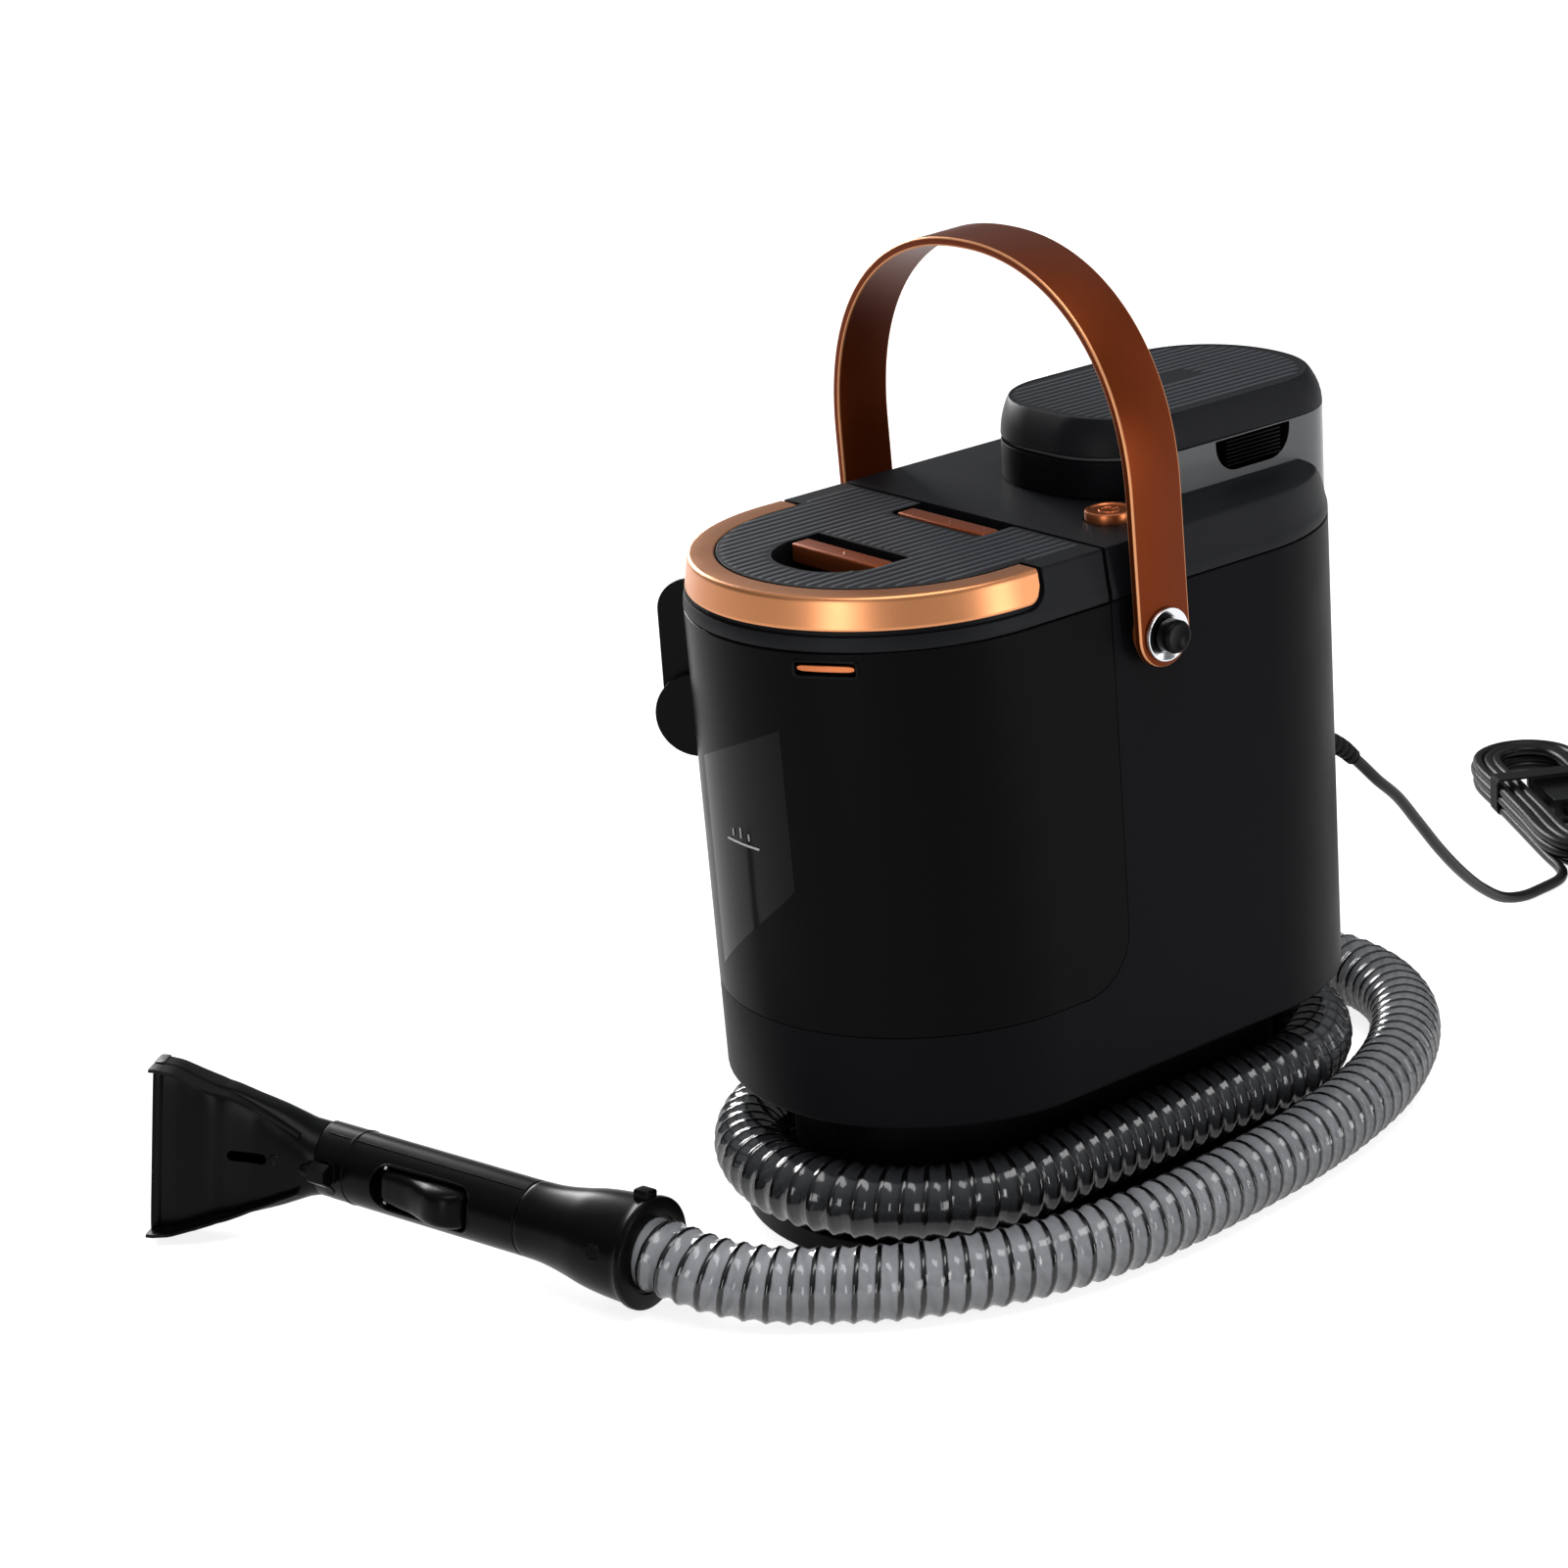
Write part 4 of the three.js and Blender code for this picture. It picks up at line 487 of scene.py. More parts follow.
def tint_by(mat, attribute, low, high):
    """Makes a plastic's colour run from low to high with an attribute, times its own mottle; the lid ribs and
    the strap use it for painted highlights and shade.
    """
    nt = mat.node_tree
    field = node(nt, "ShaderNodeAttribute", attribute_name=attribute)
    tone = next(n for n in nt.nodes if n.type == "GROUP").outputs["Mottle"]
    times = node(nt, "ShaderNodeMix", data_type="RGBA", blend_type="MULTIPLY")
    times.inputs[0].default_value = 0.25
    nt.links.new(mix_colours(nt, field.outputs["Fac"], low, high), times.inputs[6])
    nt.links.new(tone, times.inputs[7])
    nt.links.new(times.outputs[2], nt.nodes["Principled BSDF"].inputs["Base Color"])
    return mat


def shaded_crest_material():
    """Ribbed lid plastic: painted highlights along the crests and painted shade in the valleys."""
    mat = plastic("ribbed_plastic", (0.005, 0.005, 0.006), 0.48, specular=0.16)
    return tint_by(mat, "crest", (0.0008, 0.0009, 0.0011), (0.046, 0.049, 0.058))


def strap_material():
    """Satin copper of the strap, with painted highlights along its rounded edges."""
    mat = plastic("copper_strap", (0.16, 0.03, 0.007), 0.42, 1.2, 0.06, 0.7, 0.06, 0.06, 0.3)
    return tint_by(mat, "edge", (0.150, 0.027, 0.0056), (0.80, 0.36, 0.17))


def hose_material():
    """Clear grey hose wall between dark ribs: the rib attribute mixes colour and opacity, the run attribute
    paints shade from light grey near the tool to dark grey at the wrap, and noise adds random tone and
    painted highlights.
    """
    mat, nt, bsdf = new_material("hose_wall")
    rib = node(nt, "ShaderNodeAttribute", attribute_name="rib")
    run = node(nt, "ShaderNodeAttribute", attribute_name="run")
    on_rib = map_range(nt, rib.outputs["Fac"], 0.0, 1.0, 0.18, 0.50)
    coord = node(nt, "ShaderNodeTexCoord")
    noise = node(nt, "ShaderNodeTexNoise", Scale=55.0, Detail=3.0)
    nt.links.new(coord.outputs["Object"], noise.inputs["Vector"])
    # Painted highlights, partly random tone: noise patches lighten the wall near the tool.
    lit_near_tool = mix_colours(nt, noise.outputs["Fac"], (0.14, 0.143, 0.152), (0.34, 0.345, 0.362))
    # Painted shade: the run attribute darkens the wall towards the wrap, for the black core behind it.
    wall = mix_colours(nt, run.outputs["Fac"], lit_near_tool, (0.022, 0.023, 0.026))
    colour = mix_colours(nt, on_rib, wall, (0.0015, 0.0015, 0.0018))
    nt.links.new(colour, bsdf.inputs["Base Color"])
    nt.links.new(map_range(nt, on_rib, 0.86, 1.0), bsdf.inputs["Alpha"])
    nt.links.new(map_range(nt, noise.outputs["Fac"], 0.08, 0.2), bsdf.inputs["Roughness"])
    bsdf.inputs["Specular IOR Level"].default_value = 0.5
    return mat


def window_material():
    """Thin smoke-grey window with painted light: lighter towards the far side, darker towards the near side.
    """
    mat = glassy("tank_window", (0.03, 0.03, 0.032), 0.12, 1.0, 0.07)
    nt = mat.node_tree
    coord = node(nt, "ShaderNodeTexCoord")
    split = node(nt, "ShaderNodeSeparateXYZ")
    nt.links.new(coord.outputs["Object"], split.inputs[0])
    across = map_range(nt, split.outputs["Y"], 0.0, 1.0, -0.03, 0.03)
    # Painted light and shade: the window's colour runs from dark on the near side to lighter on the far side.
    shaded_tint = mix_colours(nt, across, (0.004, 0.004, 0.005), (0.020, 0.0205, 0.022))
    nt.links.new(shaded_tint, nt.nodes["Principled BSDF"].inputs["Base Color"])
    return mat


CHARCOAL = plastic("charcoal_plastic", (0.0030, 0.0029, 0.0040), 0.44, specular=0.04)
TOP = plastic("top_plastic", (0.0038, 0.0042, 0.0056), 0.50, specular=0.13)
CREST_SHADED = shaded_crest_material()
BLACK = plastic("black_plastic", (0.0018, 0.0018, 0.0021), 0.38, specular=0.05)
GLOSS = plastic("gloss_black", (0.0012, 0.0012, 0.0014), 0.30, 0.3, 0.02, specular=0.07)
TANK = plastic("dark_tank", (0.0008, 0.0008, 0.0012), 0.34, 0.2, 0.01, specular=0.045)
COPPER = plastic("copper_paint", (0.60, 0.25, 0.11), 0.36, 1.2, 0.02, 1.0, 0.5, 0.04, 0.1)
AMBER = plastic("copper_bright", (0.50, 0.15, 0.055), 0.34, 1.4, 0.05, 0.9, 0.4, 0.05, 0.2)
SADDLE = plastic("copper_satin", (0.23, 0.052, 0.014), 0.40, 1.2, 0.10, 0.7, 0.12, 0.06, 0.4)
STRAP = strap_material()
CHROME = plastic("chrome", (0.72, 0.73, 0.75), 0.16, 0.4, 0.03, 1.0, 0.5, 0.03)
STEEL = plastic("steel", (0.45, 0.46, 0.47), 0.35, 0.8, 0.15, 1.0, 0.5, 0.1)
RUBBER = plastic("rubber", (0.006, 0.006, 0.006), 0.65, 1.5, 0.25, specular=0.1)
WHITE = plastic("white_plastic", (0.72, 0.72, 0.70), 0.45, 1.0, 0.1, 0.0, 0.4, 0.05)
SHEATH = plastic("cord_sheath", (0.0030, 0.0030, 0.0032), 0.36, 1.2, 0.08, specular=0.16)
MARK = plastic("level_mark", (0.50, 0.50, 0.50), 0.5, 1.0, 0.05, 0.0, 0.3, 0.05)
SMOKE = glassy("smoke_tank", (0.125, 0.127, 0.132), 0.16, 0.95, 0.15)
WINDOW = window_material()
HOSE = hose_material()


def make_hose():
    """Suction hose from the elbow, once round the body and out to the hand tool."""
    ob, line = hose_mesh()
    piece(ob, "housing", HOSE, "hose_plastic", "hose_tube")


def make_cord():
    """Mains cord from its sleeve to the tied hank and the plug."""
    line, _ = spline(CORD_ROUTE + hank_path(), 2.5)
    ob = tube("cord", line, CORD_R, 12)
    piece(ob, "housing", SHEATH, "cord_sheath", "mains_cord", "cord_hank")
    way = line[::3] * MM
    tuple(float(v) for v in way[0])


make_hose()
make_cord()

# ---------------------------------------------------------------- body
PLATE_TOP, BODY_BOTTOM, BAND_TOP, SEAM_Z, DECK_Z = 12.8, 73.1, 119.2, 304.2, 329.2
SEAM_R, BASE_R, BASE_NOSE, BASE_REAR = 95.0, 98.7, -66.8, 73.2
SEAM_X, DECK_INSET, GAP, FIT = -25.0, 4.3, 0.3, 0.5
REAR_X = SEAM_REAR + SEAM_R - 0.5
CLEAN_X0, CLEAN_X1, CLEAN_HALF, TAIL_LONG = 19.2, REAR_X + 11.5, 54.7, 46.0
CLEAN_NOSE_R, COLLAR_X1 = 46.0, 48.0
WELL_FLOOR = SEAM_Z - 117.2
CLEAN_TOP, LID_TOP = 349.5, 367.4
WALL = 2.5
DECK_TAIL_LOW, DECK_TAIL_TOP, DECK_ROUND = REAR_X + 14, REAR_X - 33, 14
CATCH_Z, CATCH_A0, CATCH_A1 = 296.9, 203.2, 221.0
TRIM_END, TRIM_LOW, TRIM_ROUND, TRIM_GAP = -65.5, 314.2, 6.9, 2.8
PANEL_R, TRIM_R = 78.0, 79.0
RECESS_X0, RECESS_X1, RECESS_HALF, RECESS_R, RECESS_DEEP, NOTCH_X0 = -133.0, -89.5, 33.0, 30.0, 13.0, -47.5
BUTTON, BUTTON_R = (10.0, -58.0), 11.6
PIVOT = np.array([-1.2, 0.0, 285.5])
RIB = 5.35


def stadium(nose, rear, r, n=40):
    """Outline with two round ends: half circles of radius r about the two centres, joined straight."""
    return np.vstack([arc(rear, 0, r, -90, 90, n), arc(nose, 0, r, 90, 270, n)])


def body_plan(z, inset=0.0, n=40):
    """The body's outline at level z: wider and shorter towards the bottom, moved inwards by inset."""
    t = (z - BODY_BOTTOM) / (SEAM_Z - BODY_BOTTOM)
    nose = BASE_NOSE + (SEAM_NOSE - BASE_NOSE) * t
    rear = BASE_REAR + (SEAM_REAR - BASE_REAR) * t
    return stadium(nose, rear, BASE_R + (SEAM_R - BASE_R) * t - inset, n)


def fillet(z0, z1, low, high):
    """(level, inset) pairs of a wall from z0 to z1 with quarter-round edges of the given radii."""
    turns = [(math.cos(a), math.sin(a)) for a in np.radians(np.linspace(0, 90, 5))]
    foot = [(z0 + low * (1 - c), low * (1 - s)) for c, s in turns]
    return foot + [(z1 - high * (1 - s), high * (1 - c)) for c, s in turns]


def body_loft(name, z0, z1, low=0.0, high=0.0, inset=0.0, n=40):
    """Loft of the body's outline between two levels with rounded ends."""
    levels = fillet(z0, z1, low, high) if low or high else [(z0, 0), (z1, 0)]
    return loft(name, [at_level(body_plan(z, inset + more, n), z) for z, more in levels])


SHOULDER = [(SEAM_Z + GAP, 0.9), (SEAM_Z + GAP + 0.5, 0.25), (SEAM_Z + GAP + 1.0, 0.0), (SEAM_Z + 4.4, 0.15),
            (SEAM_Z + 6.4, 0.65), (SEAM_Z + 8.4, 1.1), (DECK_Z - 1.5, 3.35), (DECK_Z - 0.75, 3.55),
            (DECK_Z - 0.2, 4.0), (DECK_Z, DECK_INSET + 0.3)]


def shoulder_inset(z):
    """How far the shoulder is drawn in from the seam's outline at a level."""
    zs, ins = zip(*SHOULDER)
    return float(np.interp(z, zs, ins))


def shoulder(name, inset=0.0, top=DECK_Z, low=None, n=40):
    """The bevelled shoulder's form: the seam's outline drawn in by the shoulder's profile at each level."""
    levels = [z for z, _ in SHOULDER if z < top - 0.01] + [top]
    if low is not None:
        levels = [low] + levels[1:]
    radii = [SEAM_R - inset - shoulder_inset(z) for z in levels]
    return loft(name, [at_level(stadium(SEAM_NOSE, SEAM_REAR, r, n), z) for r, z in zip(radii, levels)])


def bay_side(inset, top):
    """Side outline of the dirty tank's bay, with its round lower rear corner."""
    x, z, r = SEAM_X - inset, BAND_TOP + inset, 28 - inset
    return np.vstack([[(-FAR, z)], arc(x - r, z + r, r, -90, 0, 16), [(x, top), (-FAR, top)]])


def tank_plan(x0, x1, half, nose_r, tail_r, grow=0.0, n=14):
    """Rounded rectangle with its own corner radius at the nose and at the tail."""
    rn, rt, h = nose_r + grow, tail_r + grow, half + grow
    nose, tail = x0 - grow + rn, x1 + grow - rt
    return np.vstack([arc(tail, -h + rt, rt, -90, 0, n), arc(tail, h - rt, rt, 0, 90, n),
                      arc(nose, h - rn, rn, 90, 180, n), arc(nose, -h + rn, rn, 180, 270, n)])


def oval_plan(ends, sides):
    """Clean tank's outline moved outwards: round corners at the nose, one long oval curve at the tail."""
    h, rn, x0, x1 = CLEAN_HALF + sides, CLEAN_NOSE_R + ends, CLEAN_X0 - ends, CLEAN_X1 + ends
    n, square = 24, 0.94
    t = np.radians(np.linspace(-90, 90, 2 * n))
    along = x1 - TAIL_LONG * (1 - np.cos(t) ** square)
    tail = np.column_stack([along, h * np.sign(t) * np.abs(np.sin(t)) ** square])
    return np.vstack([tail, arc(x0 + rn, h - rn, rn, 90, 180, n), arc(x0 + rn, rn - h, rn, 180, 270, n)])


def upper_tank(grow=0.0):
    """Clean tank's outline above the deck, moved outwards evenly."""
    return oval_plan(grow, grow)


def lower_tank(grow=0.0):
    """Clean tank's shorter outline down in the well, moved outwards evenly."""
    return tank_plan(CLEAN_X0, REAR_X - 8, CLEAN_HALF, CLEAN_NOSE_R, 40, grow)


def make_housing():
    """Housing: the body's loft without the tank's bay and the clean tank's well, with vents at the rear."""
    ob = body_loft("housing_shell", BODY_BOTTOM, SEAM_Z, 2.2, 0.7)
    cut(ob, prism_y("bay", bay_side(0, FAR), -140, 140), prism("well", lower_tank(FIT), WELL_FLOOR, FAR))
    vent_half, vent_low, vent_height, vent_pitch, vents = 42, 96, 2.6, 6.5, 8
    levels = [vent_low + i * vent_pitch for i in range(vents)]
    slits = [box("vent", 155, 200, -vent_half, vent_half, z, z + vent_height, 0.8, 2) for z in levels]
    cut(ob, join(*slits))
    cut(ob, lathe("gland_hole", [(7.3, 165), (7.3, 200)], (0, CORD_Y, 165), "X", 32))
    return clean_shading(ob)


def make_bosses():
    """Copper bosses between the housing and the strap's ends, with rounded rims."""
    rim = [(12, 92), (12, 98.4), (11.7, 99.1), (11, 99.4)]
    for side, tag in ((-1, "near"), (1, "far")):
        boss = lathe("pivot_boss_" + tag, [(r, side * h) for r, h in rim], tuple(PIVOT), "Y", 48)
        piece(boss, "housing", SADDLE, "copper_paint")


piece(make_housing(), "housing", CHARCOAL, "charcoal_plastic", "main_housing")
make_bosses()


def deck_plan(z):
    """Deck outline at level z: the shoulder's round rear end cut by a leaning plane with rounded corners."""
    r = SEAM_R - shoulder_inset(z)
    up = (z - SEAM_Z) / (DECK_Z - SEAM_Z)
    reach = DECK_TAIL_LOW + (DECK_TAIL_TOP - DECK_TAIL_LOW) * up - SEAM_REAR
    t = np.radians(np.linspace(-90, 90, 56))
    power = DECK_ROUND
    out = (r ** -float(power) + (np.maximum(np.cos(t), 0) / reach) ** power) ** (-1 / power)
    rear = np.column_stack([SEAM_REAR + out * np.cos(t), out * np.sin(t)])
    return np.vstack([rear, arc(SEAM_NOSE, 0, r, 90, 270, 8)])


def make_deck():
    """Deck: the leaning rear form behind the seam, with the well's mouth and the button's seat."""
    levels = sorted([z for z, _ in SHOULDER] + [SEAM_Z + 11.5, SEAM_Z + 15, SEAM_Z + 19])
    ob = loft("deck_shell", [at_level(deck_plan(z), z) for z in levels])
    cut(ob, slab("front", -FAR, SEAM_X + 0.9))
    cut(ob, prism("mouth", upper_tank(-3.0), SEAM_Z - 100, FAR))
    rear = prism("rear_mouth", upper_tank(FIT), SEAM_Z - 100, FAR)
    cut(ob, boolean(rear, slab("half", COLLAR_X1, FAR), "INTERSECT"))
    seat = [(BUTTON_R + FIT, DECK_Z - 6), (BUTTON_R + FIT, DECK_Z + 11)]
    cut(ob, lathe("seat", seat, (*BUTTON, 0), "Z", 48))
    return clean_shading(ob)


def make_collar():
    """Collar round the front of the clean tank, with a fine step above the deck."""
    top = CLEAN_TOP - 1.7
    levels = [(DECK_Z - 1, 0.9), (DECK_Z + 0.7, 0.9), (DECK_Z + 0.9, 0.2), (DECK_Z + 1.3, 0), (top - 0.9, 0),
              (top - 0.3, 0.2), (top, 0.8)]
    ob = loft("collar", [at_level(upper_tank(-d), z) for z, d in levels])
    cut(ob, prism("bore", upper_tank(-2.8), SEAM_Z, FAR))
    boolean(ob, slab("keep", -10, COLLAR_X1), "INTERSECT")
    return clean_shading(ob)


piece(make_deck(), "housing", TOP, "charcoal_plastic", "top_deck")
piece(make_collar(), "housing", CHARCOAL, "charcoal_plastic")


# ---------------------------------------------------------------- base
def make_base():
    """Base plate with rounded edges and foot pockets, and the core that the hose wraps round."""
    levels = fillet(0, PLATE_TOP, 1.6, 2.2)
    half_run, plate_r, foot_x, foot_y = 59, 101.3, 96, 58
    plate = loft("base_shell", [at_level(stadium(-half_run, half_run, plate_r - d), z) for z, d in levels])
    feet = [(x, y) for x in (-foot_x, foot_x) for y in (-foot_y, foot_y)]
    cut(plate, join(*[lathe("pocket", [(11.3, -1), (11.3, 4.3)], (x, y, 0)) for x, y in feet]))
    piece(clean_shading(plate), "housing", BLACK, "black_plastic", "base_plate")
    levels = (PLATE_TOP + GAP, BODY_BOTTOM - 0.1)
    core = loft("core_shell", [at_level(stadium(SEAM_NOSE, SEAM_REAR, CORE_R), z) for z in levels])
    piece(core, "housing", BLACK, "black_plastic", "hose_wrap_core")


make_base()


# ---------------------------------------------------------------- dirty tank
def nose_point(angle, z, out):
    """Points on the nose's surface at an angle about its centre and a level, moved outwards."""
    angle, z, out = np.broadcast_arrays(angle, z, out)
    t = (z - BODY_BOTTOM) / (SEAM_Z - BODY_BOTTOM)
    r = BASE_R + (SEAM_R - BASE_R) * t + out
    a = np.radians(angle)
    centre = BASE_NOSE + (SEAM_NOSE - BASE_NOSE) * t
    return np.stack([centre + r * np.cos(a), r * np.sin(a), z], -1)


def nose_patch(name, edges, low, high, rows=12):
    """Thin curved sheet on the nose, between a bottom and a top level at each angle of its edges."""
    angle, z0, z1 = np.array(edges, float).T[:, :, None]
    z = z0 + (z1 - z0) * np.linspace(0, 1, rows)
    outer, inner = nose_point(angle, z, high), nose_point(angle, z, low)
    return loft(name, np.concatenate([outer, inner[:, ::-1]], 1), True, 40)


def nose_bar(name, a0, a1, z, height, low, high, ends):
    """Bar that follows the nose between two angles, with bevelled outer edges, thinner at its ends."""
    bevel = 0.3
    a = np.linspace(a0, a1, 24)[:, None]
    edge = np.minimum(1.0, np.minimum(np.abs(a - a0), np.abs(a1 - a)) / 1.2)
    half = height / 2 * (ends + (1 - ends) * edge)
    dz = half * (1, 1, 1, -1, -1, -1) + np.array((0, 0, -bevel, bevel, 0, 0))
    out = (low, high - bevel, high, high, high - bevel, low)
    return loft(name, nose_point(a, z + dz, out), True, 40)


def make_tank():
    """Dirty tank: the body's loft inside the bay's outline, hollowed to its wall, with the catch slot."""
    ob = body_loft("dirty_tank_shell", BAND_TOP - 2, SEAM_Z, 0.1, 0.7, 0.0, 64)
    boolean(ob, prism_y("bay", bay_side(FIT, FAR), -140, 140), "INTERSECT")
    inner = body_loft("inner", BAND_TOP - 3, SEAM_Z + 3, 0, 0, WALL, 64)
    boolean(inner, prism_y("bay", bay_side(FIT + WALL, FAR), -140, 140), "INTERSECT")
    slot = nose_bar("slot", CATCH_A0, CATCH_A1, CATCH_Z, 6.4, -8, 4, 0.9)
    cut(ob, inner, slot)
    return clean_shading(ob)


def window_edges():
    """The window's edges: both slant down towards the far side, and its lower near corner is eased."""
    near, sweep, low, top = 196.6, 38, 186.5, 266
    t = np.linspace(0, 1, 32)
    turn = sweep * t
    return np.column_stack([near - turn, low - 1.36 * turn + 2.0 * (1 - t) ** 8, top - 0.70 * turn])


def make_catch():
    """Catch: a raised rounded frame round a dark slot with a thin copper bar."""
    left, right, half = CATCH_A1 - 1.2, CATCH_A0 + 1.2, 1.8
    corners = ((left, half, 0), (right, half, 90), (right, -half, 180), (left, -half, 270))
    angle, dz, a0 = np.array(corners).T[:, :, None]
    t = np.radians(a0 + 15 * np.arange(7))
    line = nose_point(angle + 1.2 * np.cos(t), CATCH_Z + dz + 1.9 * np.sin(t), 0.15).reshape(-1, 3)
    ring = tube("catch_ring", np.vstack([line, line[:2]]), 0.75, 12)
    back = nose_bar("catch_back", CATCH_A0 - 1, CATCH_A1 + 1, CATCH_Z, 7.2, -5.5, -4.2, 0.9)
    piece(join(ring, back), "dirty_tank_body", GLOSS, "black_plastic", "catch_frame")
    bar = nose_bar("catch_strip", CATCH_A0 + 0.8, CATCH_A1 - 0.8, CATCH_Z + 0.1, 3.0, -2.5, -0.4, 0.6)
    piece(bar, "dirty_tank_body", AMBER, "copper_paint", "catch_bar")


def make_marks():
    """Level mark: a fine line with three ticks on the window."""
    line = nose_bar("mark_line", 171.2, 185.4, 205.2, 1.1, 0.3, 0.75, 0.9)
    foot, half = 208, 0.22
    ticks = []
    for a, h in ((174.5, 3.2), (178.0, 5.0), (181.5, 3.2)):
        edges = [(a - half, foot, foot + h), (a + half, foot, foot + h)]
        ticks.append(nose_patch("tick", edges, 0.3, 0.7, 3))
    piece(join(line, *ticks), "dirty_tank_body", MARK, "dark_tank")


piece(make_tank(), "dirty_tank_body", TANK, "dark_tank", "dirty_tank")
piece(nose_patch("tank_window", window_edges(), -0.6, 0.12), "dirty_tank_body", WINDOW, "dark_tank")
make_catch()
make_marks()


def trim_side(grow):
    """Side outline of the copper trim's reach, with a rounded corner at its end."""
    x, low, r = TRIM_END + grow, TRIM_LOW - grow, TRIM_ROUND + grow
    return np.vstack([[(-FAR, low)], arc(x - r, low + r, r, -90, 0, 10), [(x, FAR), (-FAR, FAR)]])


def recess_plan():
    """Outline of the finger recess, round at its nose end."""
    left = [arc(RECESS_X0 + RECESS_R, side * (RECESS_HALF - RECESS_R), RECESS_R, a, a + 90, 14)
            for side, a in ((1, 90), (-1, 180))]
    return np.vstack([[(RECESS_X1, -RECESS_HALF), (RECESS_X1, RECESS_HALF)], *left])


def make_lid():
    """Dirty tank's lid: the shoulder's form with the trim's rebate, the finger recess and the rear notch."""
    ob = shoulder("dirty_lid_shell", n=64)
    boolean(ob, slab("keep", -FAR, SEAM_X - 1.5), "INTERSECT")
    rebate = prism_y("rebate", trim_side(TRIM_GAP), -FAR / 2, FAR / 2)
    core = shoulder("core", 2.7, DECK_Z - 2.7, 290, 64)
    cut(rebate, core, prism("panel", stadium(SEAM_NOSE, SEAM_REAR, PANEL_R, 64), 290, FAR))
    notch = tank_plan(NOTCH_X0, 0, RECESS_HALF, 6, 3, 0, 6)
    floor = DECK_Z - RECESS_DEEP
    cut(ob, rebate, prism("recess", recess_plan(), floor, FAR), prism("notch", notch, floor, FAR))
    return clean_shading(ob)


def trim_low(x):
    """Lowest level of the trim at a station along X: its lower corner is rounded at its end."""
    d = max(x - (TRIM_END - TRIM_ROUND), 0)
    return TRIM_LOW + TRIM_ROUND - math.sqrt(max(TRIM_ROUND ** 2 - d * d, 0.01))


def trim_section(x):
    """Section of the trim: a flat rim, a rounded edge and the bevel, as (distance out, level) pairs."""
    low = trim_low(x)
    foot = SEAM_R - shoulder_inset(low)
    levels = np.linspace(DECK_Z - 1.5, low + 0.5, 14)
    skin = [(TRIM_R, DECK_Z - 0.35), (TRIM_R + 0.4, DECK_Z - 0.05), (TRIM_R + 1, DECK_Z)]
    skin += [(TRIM_R + 6, DECK_Z), (SEAM_R - 5.2, DECK_Z), (SEAM_R - 4.5, DECK_Z - 0.1)]
    skin.append((SEAM_R - 3.9, DECK_Z - 0.5))
    skin += [(SEAM_R - shoulder_inset(z), z) for z in levels]
    skin += [(foot - 0.2, low + 0.1), (foot - 0.6, low)]
    return skin + [(foot - 2.2, low + 0.3), (SEAM_R - 6.0, DECK_Z - 2.4), (TRIM_R, DECK_Z - 2.4)]


def make_trim():
    """Copper trim: its section swept along one side, round the nose and back along the other side."""
    stations = TRIM_END - (TRIM_END - SEAM_NOSE) * (1 - np.linspace(1, 0, 14) ** 2)
    sections = np.array([trim_section(x) for x in stations])
    side = np.stack([stations[:, None] + 0 * sections[:, :, 0], sections[:, :, 0], sections[:, :, 1]], -1)
    out, level = np.array(trim_section(SEAM_NOSE)).T
    a = np.radians(np.linspace(270, 90, 97))[:, None]
    around = np.stack([SEAM_NOSE + out * np.cos(a), out * np.sin(a), level + 0 * a], -1)
    return loft("trim_shell", np.concatenate([side * (1, -1, 1), around, side[::-1]]), True, 50)


def rib(x0, x1, y, z, height, width):
    """Rings of one raised rib along X: a cosine crest that fades out over its last few millimetres."""
    taper = min(2.5, (x1 - x0) / 3)
    steps = taper * np.array([0, 0.3, 0.65, 1])
    x = np.concatenate([x0 + steps, x1 - steps[::-1]])[:, None]
    h = height * np.minimum(1.0, 0.02 + np.minimum(x - x0, x1 - x) / taper)
    u = np.linspace(-0.5, 0.5, 9)
    crest = np.stack([x + 0 * u, y + u * width + 0 * x, z + h * np.cos(math.pi * u) ** 2], -1)
    foot = np.stack([x, y + 0 * x, z - 0.3 + 0 * x], -1)
    return np.concatenate([crest, foot], 1)


def ribs(name, spans, z, height=0.5):
    """All the ribs of a lid in one mesh; spans gives the (x0, x1) stretches at each y."""
    long_enough, width = 3, RIB * 0.96
    grids = np.array([rib(x0, x1, y, z, height, width)
                      for y, row in spans for x0, x1 in row if x1 - x0 >= long_enough])
    count, k, n = grids.shape[:3]
    base = np.arange(count)[:, None, None] * (k * n)
    ends = np.array([np.arange(n)[::-1], (k - 1) * n + np.arange(n)])
    faces = (base + grid_faces(k, n)).reshape(-1, 4).tolist() + (base + ends).reshape(-1, n).tolist()
    ob = mesh_object(name, grids.reshape(-1, 3), faces, 60)
    # The crest attribute, each point's height on its rib, drives the painted highlight on the crests and the
    # painted shade in the valleys.
    mark_points(ob, "crest", np.clip((grids[..., 2] - z) / height, 0, 1))
    return ob


def lid_spans():
    """Stretches of the dirty lid's ribs: inside the panel's round, clear of the recess and the notch."""
    edge, clear = PANEL_R - 1.4, RECESS_HALF + 1.5
    for y in (np.arange(-15, 15) + 0.5) * RIB:
        x0 = -60.0 if abs(y) > edge - 1.1 else SEAM_NOSE - math.sqrt(edge ** 2 - y * y)
        if abs(y) < clear:
            corner = max(abs(y) - (RECESS_HALF - RECESS_R), 0)
            nose = RECESS_X0 + RECESS_R - math.sqrt(max(RECESS_R ** 2 - corner ** 2, 0)) - 1.6
            yield y, [(x0, nose), (RECESS_X1 + 1.5, NOTCH_X0 - 1.1)]
        else:
            yield y, [(x0, SEAM_X - 2.4)]


